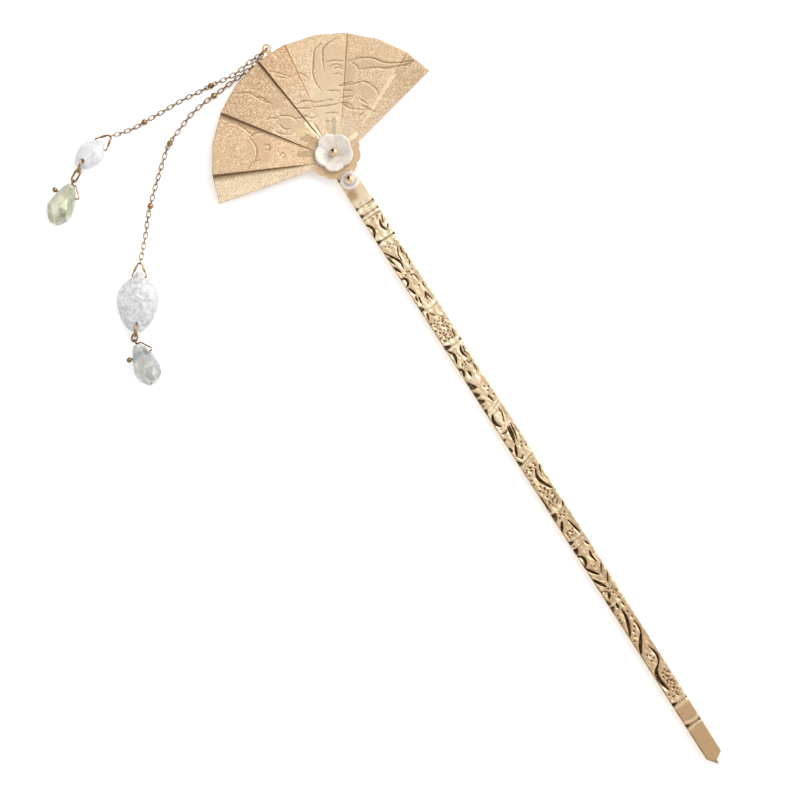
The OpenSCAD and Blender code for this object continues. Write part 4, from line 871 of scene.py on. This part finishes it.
punches = (
    (-0.1, 28.5), (0.45, 28.7), (1.15, 28.6), (0.4, 29.6), (-0.7, 28.9), (0.6, 32.4),
    (-1.7, 41.1), (-1.2, 42.1), (1.1, 40.9), (0.8, 41.9), (0.3, 42.8), (0.95, 43.3), (-1.7, 42.9),
    (-1.1, 43.9), (-1.7, 44.9), (-0.6, 44.8), (-1.3, 45.8), (-0.3, 45.9), (0.6, 46.0),
    (0.7, 52.5), (-0.8, 52.4), (0.0, 52.1), (1.4, 52.6),
    (1.0, 60.1), (1.7, 61.5), (1.6, 59.4), (-1.7, 62.5), (0.8, 58.9),
    (0.7, 74.4), (1.6, 74.7), (1.1, 73.6), (0.95, 79.0), (-0.4, 79.4), (-0.3, 80.2), (-1.5, 79.9),
    (-1.4, 80.9), (-1.5, 82.0), (-1.5, 83.1), (-0.6, 84.2), (0.05, 84.9), (-1.3, 84.9), (-0.8, 85.7),
    (0.3, 85.9), (0.9, 86.8), (-0.5, 86.9), (0.9, 87.8), (0.8, 88.8), (0.1, 88.0), (-0.7, 88.4),
    (-0.7, 92.3), (-0.2, 91.7), (0.4, 92.2), (0.9, 91.7), (-1.1, 96.0), (-1.1, 97.0), (-0.4, 96.9),
    (-0.3, 95.9), (-1.4, 99.25), (-1.0, 111.3), (0.7, 111.4), (-1.6, 111.0), (0.0, 111.1), (0.5, 112.4),
    (1.3, 112.3), (-1.4, 117.3), (-1.5, 118.3), (-1.5, 119.2), (0.9, 117.6), (1.2, 119.0),
    (-0.6, 123.1), (-0.2, 122.1), (-1.3, 124.0), (0.4, 121.2), (-0.6, 128.0), (-0.1, 128.5),
    (-0.4, 129.6), (0.3, 129.3), (0.3, 133.2), (0.95, 132.7), (-0.1, 134.0), (0.6, 134.3),
    (0.1, 135.1), (0.8, 135.4), (1.35, 133.6), (1.3, 136.1), (0.5, 137.2), (-1.2, 138.0),
    (-0.6, 138.8), (0.5, 138.9))

punchedGround = (
    ((-1.0, 14.5), (1.8, 15.0)), ((-1.3, 21.4), (1.5, 22.2)), ((-1.5, 40.7), (1.5, 46.1)),
    ((-0.9, 51.9), (1.5, 53.0)), ((-1.3, 79.0), (1.5, 80.4)), ((-1.0, 84.6), (1.3, 89.4)),
    ((-1.3, 95.6), (0.5, 97.2)), ((-0.5, 104.9), (0.5, 105.4)), ((-1.2, 111.1), (1.4, 112.0)),
    ((-0.1, 133.0), (1.4, 138.6)))

# Raised bands across. Columns: distance down at the left and the right edge, bow in the
# middle, half width, height.
rolls = (
    (10.6, 10.6, 0.0, 0.25, 0.07), (12.0, 12.0, 0.0, 0.5, 0.1), (13.6, 13.6, -0.1, 0.3, 0.1),
    (19.2, 19.2, 0.0, 0.3, 0.08),
    (20.4, 20.4, -0.1, 0.35, 0.08), (36.7, 36.9, 0.6, 0.35, 0.1), (38.2, 38.2, 0.3, 0.25, 0.04),
    (46.6, 46.4, 0.3, 0.35, 0.1), (48.2, 47.9, 0.0, 0.28, 0.1), (55.6, 55.0, 2.4, 0.2, 0.05),
    (64.3, 62.8, 0.0, 0.28, 0.1), (65.2, 63.6, -0.1, 0.28, 0.1), (69.4, 68.0, 0.1, 0.3, 0.08),
    (77.4, 76.3, 0.1, 0.3, 0.1), (78.6, 77.5, -0.1, 0.28, 0.1), (90.5, 89.6, 0.3, 0.35, 0.1),
    (92.9, 91.5, 0.3, 0.25, 0.06), (97.6, 97.5, 0.1, 0.25, 0.1), (98.9, 98.5, 0.0, 0.26, 0.1),
    (99.7, 99.1, 0.0, 0.2, 0.08), (105.3, 105.0, 2.6, 0.25, 0.1), (107.9, 107.6, 2.5, 0.28, 0.1),
    (114.7, 114.4, 0.0, 0.25, 0.08), (139.6, 139.7, 0.0, 0.25, 0.1), (141.1, 141.0, -0.1, 0.22, 0.1),
    (144.9, 145.0, 0.4, 0.22, 0.1), (147.0, 146.5, -0.3, 0.2, 0.1))
# Round bosses. Columns: X, distance down, radius, height.
bosses = (
    (-2.1, 16.8, 0.5, 0.12), (1.5, 17.2, 0.55, 0.12), (-1.95, 30.3, 0.65, 0.14), (1.7, 32.9, 0.3, 0.08),
    (-2.1, 49.9, 0.55, 0.12), (1.45, 50.0, 0.35, 0.08), (-0.2, 66.4, 1.1, 0.12), (0.0, 56.4, 1.0, 0.06),
    (-2.0, 103.0, 0.55, 0.12), (1.55, 103.2, 0.35, 0.08), (0.0, 129.0, 1.0, 0.1), (-1.3, 24.4, 0.4, 0.08),
    (0.2, 101.4, 0.8, 0.06))
# Fine lines across. Columns: from, to, slope.
ribs = ((10.3, 14.3, 0.0), (20.6, 22.4, 0.1), (29.0, 32.0, 0.1), (52.0, 54.6, 0.0), (64.8, 66.6, 0.35),
        (69.6, 73.0, 0.35), (77.4, 78.6, 0.3), (90.8, 94.6, 0.3), (97.8, 100.2, 0.1), (106.0, 110.0, 0.0))


def wedgeOutlines():
    # closed outlines; each starts and ends beside the stick, at the chart's edge
    for side, top, *points, bottom in wedges:
        edge = side * stick["chartEdge"]
        yield (edge, top), *points, (edge, bottom), (edge, top)


def stickHalf(y):
    # half width at a place along the stick
    run = np.clip(-y / (stick["length"] - stick["pointLength"]), 0, 1)
    half = stick["halfTop"] + (stick["halfTip"] - stick["halfTop"]) * run
    toTip = np.clip((stick["length"] + y) / stick["pointLength"], 0, 1)
    tailCut = np.clip(stick["tail"] - y, 0, 0.7) - 0.7
    return (half * toTip + stick["pointHalf"] * (1 - toTip)) + tailCut


def soften(field, reach):
    # gaussian spread over a grid, reach in cells
    taps = np.arange(-2 * reach, 2 * reach + 1)
    weights = np.exp(-(taps / reach) ** 2 / 2)
    weights /= weights.sum()
    for axis in (0, 1):
        edge = [(0, 0), (0, 0)]
        edge[axis] = (2 * reach, 2 * reach)
        padded = np.pad(field, edge, mode="edge")
        field = sum(w * np.take(padded, range(i, i + field.shape[axis]), axis=axis)
                    for i, w in enumerate(weights))
    return field


def stickRelief(x, down):
    # depth of the carving, height of the raised forms and dark of the small marks
    depth, stain = np.zeros(x.shape), np.zeros(x.shape)
    rows = down[:, 0]

    def window(low, high):
        first, last = np.searchsorted(rows, (low, high))
        part = slice(max(0, first), max(0, last))
        return part, np.stack([x[part].ravel(), down[part].ravel()], axis=1)

    def press(part, values, field=depth):
        field[part] = np.maximum(field[part], values.reshape(field[part].shape))

    for outline in wedgeOutlines():
        loop = np.array(outline)
        part, spots = window(loop[:, 1].min() - 0.4, loop[:, 1].max() + 0.4)
        press(part, stick["wedgeDepth"] * smoothStep(-0.12, 0.2, insideLoop(spots, loop)))
    for cutDepth, width, *points in ((d, *cut) for d, group in cuts.items() for cut in group):
        path = roundedPath(points)
        part, spots = window(path[:, 1].min() - 0.6, path[:, 1].max() + 0.6)
        gap, along = distanceToPath(spots, path)
        taper = width * (0.35 + 0.65 * np.sin(np.pi * along))
        press(part, cutDepth * (1 - smoothStep(0.2, 0.75, gap / taper)))
    for y in crossLines:
        part, spots = window(y - 0.4, y + 0.4)
        line = 1 - smoothStep(0.03, 0.2, abs(spots[:, 1] - y))
        press(part, 0.09 * line)
        press(part, 0.75 * line, stain)
    for px, py in punches:
        part, spots = window(py - 0.4, py + 0.4)
        dot = 1 - smoothStep(0.14, 0.36, np.hypot(spots[:, 0] - px, spots[:, 1] - py))
        press(part, 0.14 * dot)
        press(part, dot, stain)
    hatched = np.zeros(x.shape)
    for (x0, y0), (x1, y1) in punchedGround:
        inField = (smoothStep(x0 - 0.3, x0, x) * (1 - smoothStep(x1, x1 + 0.3, x))
                   * smoothStep(y0 - 0.3, y0, down) * (1 - smoothStep(y1, y1 + 0.3, down)))
        hatched = np.maximum(hatched, inField)
    drift = 0.1 * np.sin(down * 3.1) + 0.08 * np.sin(x * 5.3 + down)
    turn = np.pi / stick["dotPitch"]
    dots = np.cos(turn * (x + down + drift)) * np.cos(turn * (x - down + drift))
    dotted = hatched * smoothStep(0.35, 0.8, abs(dots))
    depth = np.maximum(depth, 0.04 * dotted)
    stain = np.maximum(stain, 0.9 * dotted)
    for top, bottom, slope in ribs:
        within = smoothStep(top - 0.1, top + 0.2, down) * (1 - smoothStep(bottom - 0.2, bottom + 0.1, down))
        rib = 0.5 + 0.5 * np.cos(2 * np.pi * (down + slope * x) / stick["ribPitch"])
        stain = np.maximum(stain, 0.3 * within * rib ** 2)
    raised = np.zeros(x.shape)
    across = np.clip(x / 2.1, -1, 1)
    for left, right, bow, half, height in rolls:
        line = left + (right - left) * (across + 1) / 2 + bow * (1 - abs(across) ** 1.3)
        raised = np.maximum(raised, height * np.exp(-((down - line) / half) ** 2))
    for px, py, radius, height in bosses:
        share = np.hypot(x - px, down - py) / radius
        raised = np.maximum(raised, height * np.sqrt(np.clip(1 - share ** 2, 0, 1)))
    return depth, raised, stain


def carvedStick():
    rowCount = round((stick["tail"] + stick["length"]) / stick["rowStep"])
    columns = stick["columns"]
    y = np.linspace(stick["tail"], -stick["length"], rowCount + 1)[:, None]
    share = np.sin(np.linspace(-1, 1, columns + 1) * np.pi / 2 * 0.82)[None, :]
    share = share / share[0, -1]
    x = share * stickHalf(y)
    y = y + 0 * x
    depth, raised, stain = stickRelief(x + stick["chartShift"], -y)
    soft = soften(depth, 3)
    inward = stickHalf(y) - abs(x)
    worn = stick["edgeDrop"] * (1 - smoothStep(0, stick["edgeRound"], inward)) ** 1.5
    worn = np.where(x > 0, 0.35 * worn, worn)
    past = np.clip(0.534 * abs(x) - 0.846 * (y + stick["length"] - 1.1), 0, None)
    start, end = stick["carvedFrom"], stick["carvedTo"]
    carvedPart = smoothStep(start, start + 0.5, -y) * (1 - smoothStep(end, end + 0.6, -y))
    waves = (np.sin(2.6 * x + 1.1 * y) * np.sin(1.7 * x - 0.9 * y + 0.6) + 0.6 * np.sin(2.3 * y - 1.4 * x)
             + 0.5 * np.sin(4.1 * y + 2.2 * x) * np.sin(3.2 * x))
    wave = stick["unevenness"] * waves * carvedPart
    face = stick["thick"] - stick["faceDrop"]
    z = face + raised + wave - depth - stick["shoulder"] * soft - worn - 0.65 * past
    # dark patina in the cuts, and painted shade that spreads round them; less on the higher waves
    dark = np.clip(0.95 * smoothStep(0.1, 0.36, depth) + 0.85 * smoothStep(0.02, 0.3, soft)
                   - 0.06 - 1.2 * wave, 0, 1)
    # painted shade along the left edge, the side away from the light, and a lighter painted shade on the
    # right edge's bevel
    leftEdge = np.where(x < 0, 1 - smoothStep(0.08, 0.42, inward), 0) * smoothStep(12, 20, -y)
    rightEdge = np.where(x > 0, 0.4 * (1 - smoothStep(0.0, 0.34, inward)), 0)
    dark = np.maximum.reduce([dark, stain, rightEdge, (0.5 + 0.25 * np.sin(2.1 * y)) * leftEdge])
    # painted highlight on the raised forms and the higher waves; the plain band from 6.2 to 10.6 mm down is
    # lifted towards the same colour
    bright = np.clip(raised / 0.1 + 3 * wave, 0, 1) * (1 - dark)
    bright = np.maximum(bright, 0.35 * smoothStep(6.2, 6.6, -y) * (1 - smoothStep(10.2, 10.6, -y)))
    # the point's left facet gets painted shade, its right one a painted highlight
    facet = smoothStep(0.02, 0.08, past)
    dark = np.where(x < 0, np.maximum(dark, 0.6 * facet), dark * (1 - facet))
    bright = np.where(x < 0, bright * (1 - facet), np.maximum(bright, facet))
    # browner plates past the carving and towards the point: a painted darker reflection
    plain = 0.8 * smoothStep(end + 0.4, end + 0.7, -y) * (1 - bright)
    plain = np.maximum(plain, stick["tipTone"] * smoothStep(35, 125, -y)) * (1 - facet)
    brownPatch = 1 - smoothStep(0.5, 1.9, np.hypot(x + 1.3, y + 8))
    dark = np.maximum(dark, 0.85 * (1 - smoothStep(0.2, 0.6, np.hypot(x + 2.2, y + 3.7))))
    plain = np.maximum(plain, 0.9 * brownPatch)
    bm, cells = sheetGrid(columns, rowCount)
    marks = np.ones((len(cells), 4), np.float32)
    for vert, c, fromTip in cells:
        r = rowCount - fromTip
        vert.co = (x[r, c] * mm, y[r, c] * mm, z[r, c] * mm)
        marks[vert.index, :3] = dark[r, c], bright[r, c], plain[r, c]
    faceUp(bm)
    drawDown(bm, lambda vert: vert.co.z - stick["wallTop"] * mm)
    drawDown(bm, lambda vert: 0.0)
    rim = [e for e in bm.edges if e.is_boundary]
    bmesh.ops.triangle_fill(bm, use_beauty=False, use_dissolve=False, edges=rim, normal=(0, 0, -1))
    bmesh.ops.recalc_face_normals(bm, faces=bm.faces)
    extra = len(bm.verts) - len(marks)
    piece = finishPiece(bm, "carvedStick", carved, ("stick",))
    piece.data.set_sharp_from_angle(angle=math.radians(55))
    sides = np.tile([[0, 0, 0, 1]], (extra, 1))
    addLayer(piece, "carving", "FLOAT_COLOR", "POINT", np.concatenate([marks, sides]))


carvedStick()
print("stick ready")

# Flower: cut from one piece of shell
flower = {
    "centre": hubCentre,        # mm, as the rest here
    "petals": 5,
    "radius": 4.3,
    "gap": 0.54,                # how far the outline draws in between petals
    "notch": 0.07,              # and at the middle of each petal's tip
    "bore": 0.38,
    "rim": 1.0,                 # height of the tips over the seat
    "thick": 0.62,
    "columns": 300,
    "rows": 34,
    "rays": 50,
    "rayDepth": 0.022,
    "turn": 3.6,                # degrees
}


def petalReach(angle):
    turned = (angle - math.radians(flower["turn"])) * flower["petals"] / 2
    lobe = abs(math.cos(turned))
    tip = max(0.0, lobe - 0.96) / 0.04
    return flower["radius"] - flower["gap"] * (1 - lobe) ** 1.25 - flower["notch"] * tip ** 2


def shellFlower():
    low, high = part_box("shell_flower")
    seat = low.z / mm
    columns, rows = flower["columns"], flower["rows"]
    bm, cells = sheetGrid(columns, rows)
    for vert, column, row in cells:
        angle, out = math.pi / 2 + column / columns * 2 * math.pi, row / rows
        reach = petalReach(angle - math.pi / 2)
        radius = flower["bore"] + (reach - flower["bore"]) * out
        share = radius / flower["radius"]
        cup = flower["rim"] * share ** 2.2
        lobe = abs(math.cos((angle - math.pi / 2 - math.radians(flower["turn"])) * flower["petals"] / 2))
        valley = 0.22 * (1 - lobe) ** 2 * smoothStep(0.25, 0.9, share)
        ray = flower["rayDepth"] * math.cos(angle * flower["rays"]) * smoothStep(0.12, 0.4, share)
        edge = 0.3 * smoothStep(0.86, 1.0, out) ** 2
        height = seat + flower["thick"] + cup - valley + ray * (1 - smoothStep(0.9, 1, out)) - edge
        vert.co = ((flower["centre"][0] + radius * math.cos(angle)) * mm,
                   (flower["centre"][1] + radius * math.sin(angle)) * mm, height * mm)
    bmesh.ops.remove_doubles(bm, verts=bm.verts, dist=1e-6)
    faceUp(bm)

    def polar(vert):
        dx, dy = vert.co.x / mm - flower["centre"][0], vert.co.y / mm - flower["centre"][1]
        return math.hypot(dx, dy) / flower["radius"], math.atan2(dy, dx)

    def underside(vert):
        share, _ = polar(vert)
        return (seat + flower["rim"] * share ** 2.2 * (share > 0.3)) * mm

    drawDown(bm, underside)
    bmesh.ops.bridge_loops(bm, edges=[e for e in bm.edges if e.is_boundary])
    bmesh.ops.recalc_face_normals(bm, faces=bm.faces)
    piece = finishPiece(bm, "shellFlower", pearlyShell(), ("shell_flower",))
    # painted shade in the grooves of the rays, strongest near the middle
    values = []
    for share, angle in map(polar, piece.data.vertices):
        groove = 0.5 - 0.5 * math.cos(angle * flower["rays"])
        values.append(groove ** 3 * smoothStep(0.1, 0.25, share) * (1 - smoothStep(0.4, 0.85, share)))
    addLayer(piece, "ray", "FLOAT", "POINT", values)


shellFlower()
print("flower ready")


# Surface and light
studio = {
    "floorHalf": 1.5,                     # metres, as the rest here
    "floor": tint(250, 250, 249),
    "floorGlow": 0.22,
    "sky": 0.95,
    "brightSide": (0.84, -0.4, 0.0),
    "darkSpot": (-0.141, 0.627, 0.766),   # where the ball heads mirror something dark
    "keyStrength": 3.6,
    "keyAt": (0.5, 0.1, 0.5),
    "keySize": 0.5,
    "fillStrength": 1.2,
    "fillAt": (-0.5, 0.4, 0.6),
    "fillSize": 0.6,
    "lightAim": (-0.01, -0.05, 0),
}


def makeFloor():
    bm = bmesh.new()
    bmesh.ops.create_grid(bm, x_segments=1, y_segments=1, size=studio["floorHalf"])
    mesh = bpy.data.meshes.new("paleSurface")
    bm.to_mesh(mesh)
    bm.free()
    mesh.materials.append(newMaterial(
        "paleSurface", 0.9, 0.0, Base_Color=studio["floor"], Emission_Color=(1, 1, 1, 1),
        Emission_Strength=studio["floorGlow"])[0])
    surface = bpy.data.objects.new("paleSurface", mesh)
    bpy.context.scene.collection.objects.link(surface)


def softLight(name, place, size, strength, colour=(1, 1, 1)):
    light = bpy.data.lights.new(name, "AREA")
    light.size = size
    light.energy = strength
    light.color = colour
    lamp = bpy.data.objects.new(name, light)
    lamp.location = place
    aim = Vector(studio["lightAim"]) - Vector(place)
    lamp.rotation_euler = aim.to_track_quat("-Z", "Y").to_euler()
    bpy.context.scene.collection.objects.link(lamp)


def makeSky():
    world = bpy.data.worlds.new("studioSky")
    world.use_nodes = True
    bpy.context.scene.world = world
    tree = world.node_tree
    back = tree.nodes["Background"]
    way = addNode(tree, "ShaderNodeTexCoord").outputs["Generated"]
    up = addNode(tree, "ShaderNodeSeparateXYZ", {"Vector": way}).outputs["Z"]
    side, spot = (addNode(tree, "ShaderNodeVectorMath", {0: way, 1: studio[key]},
                          operation="DOT_PRODUCT").outputs["Value"] for key in ("brightSide", "darkSpot"))
    shade = colourRamp(tree, up, (0.0, (0.8, 0.8, 0.8, 1)), (0.3, (1, 1, 1, 1)), (0.97, (1, 1, 1, 1)),
                       (0.99, (0.75, 0.75, 0.74, 1)), (1.0, (0.7, 0.7, 0.69, 1)))
    tree.links.new(shade, back.inputs["Color"])
    lit = ramp(tree, side, -0.9, 0.9, studio["sky"] * 0.55, studio["sky"] * 1.35)
    unshaded = ramp(tree, spot, 0.955, 0.985, 1.0, 0.12)
    tree.links.new(mathNode(tree, "MULTIPLY", lit, unshaded), back.inputs["Strength"])


makeFloor()
softLight("keyLight", studio["keyAt"], studio["keySize"], studio["keyStrength"], (1.0, 0.98, 0.95))
softLight("fillLight", studio["fillAt"], studio["fillSize"], studio["fillStrength"])
makeSky()
bpy.context.scene.view_settings.view_transform = "Standard"
print("light ready")
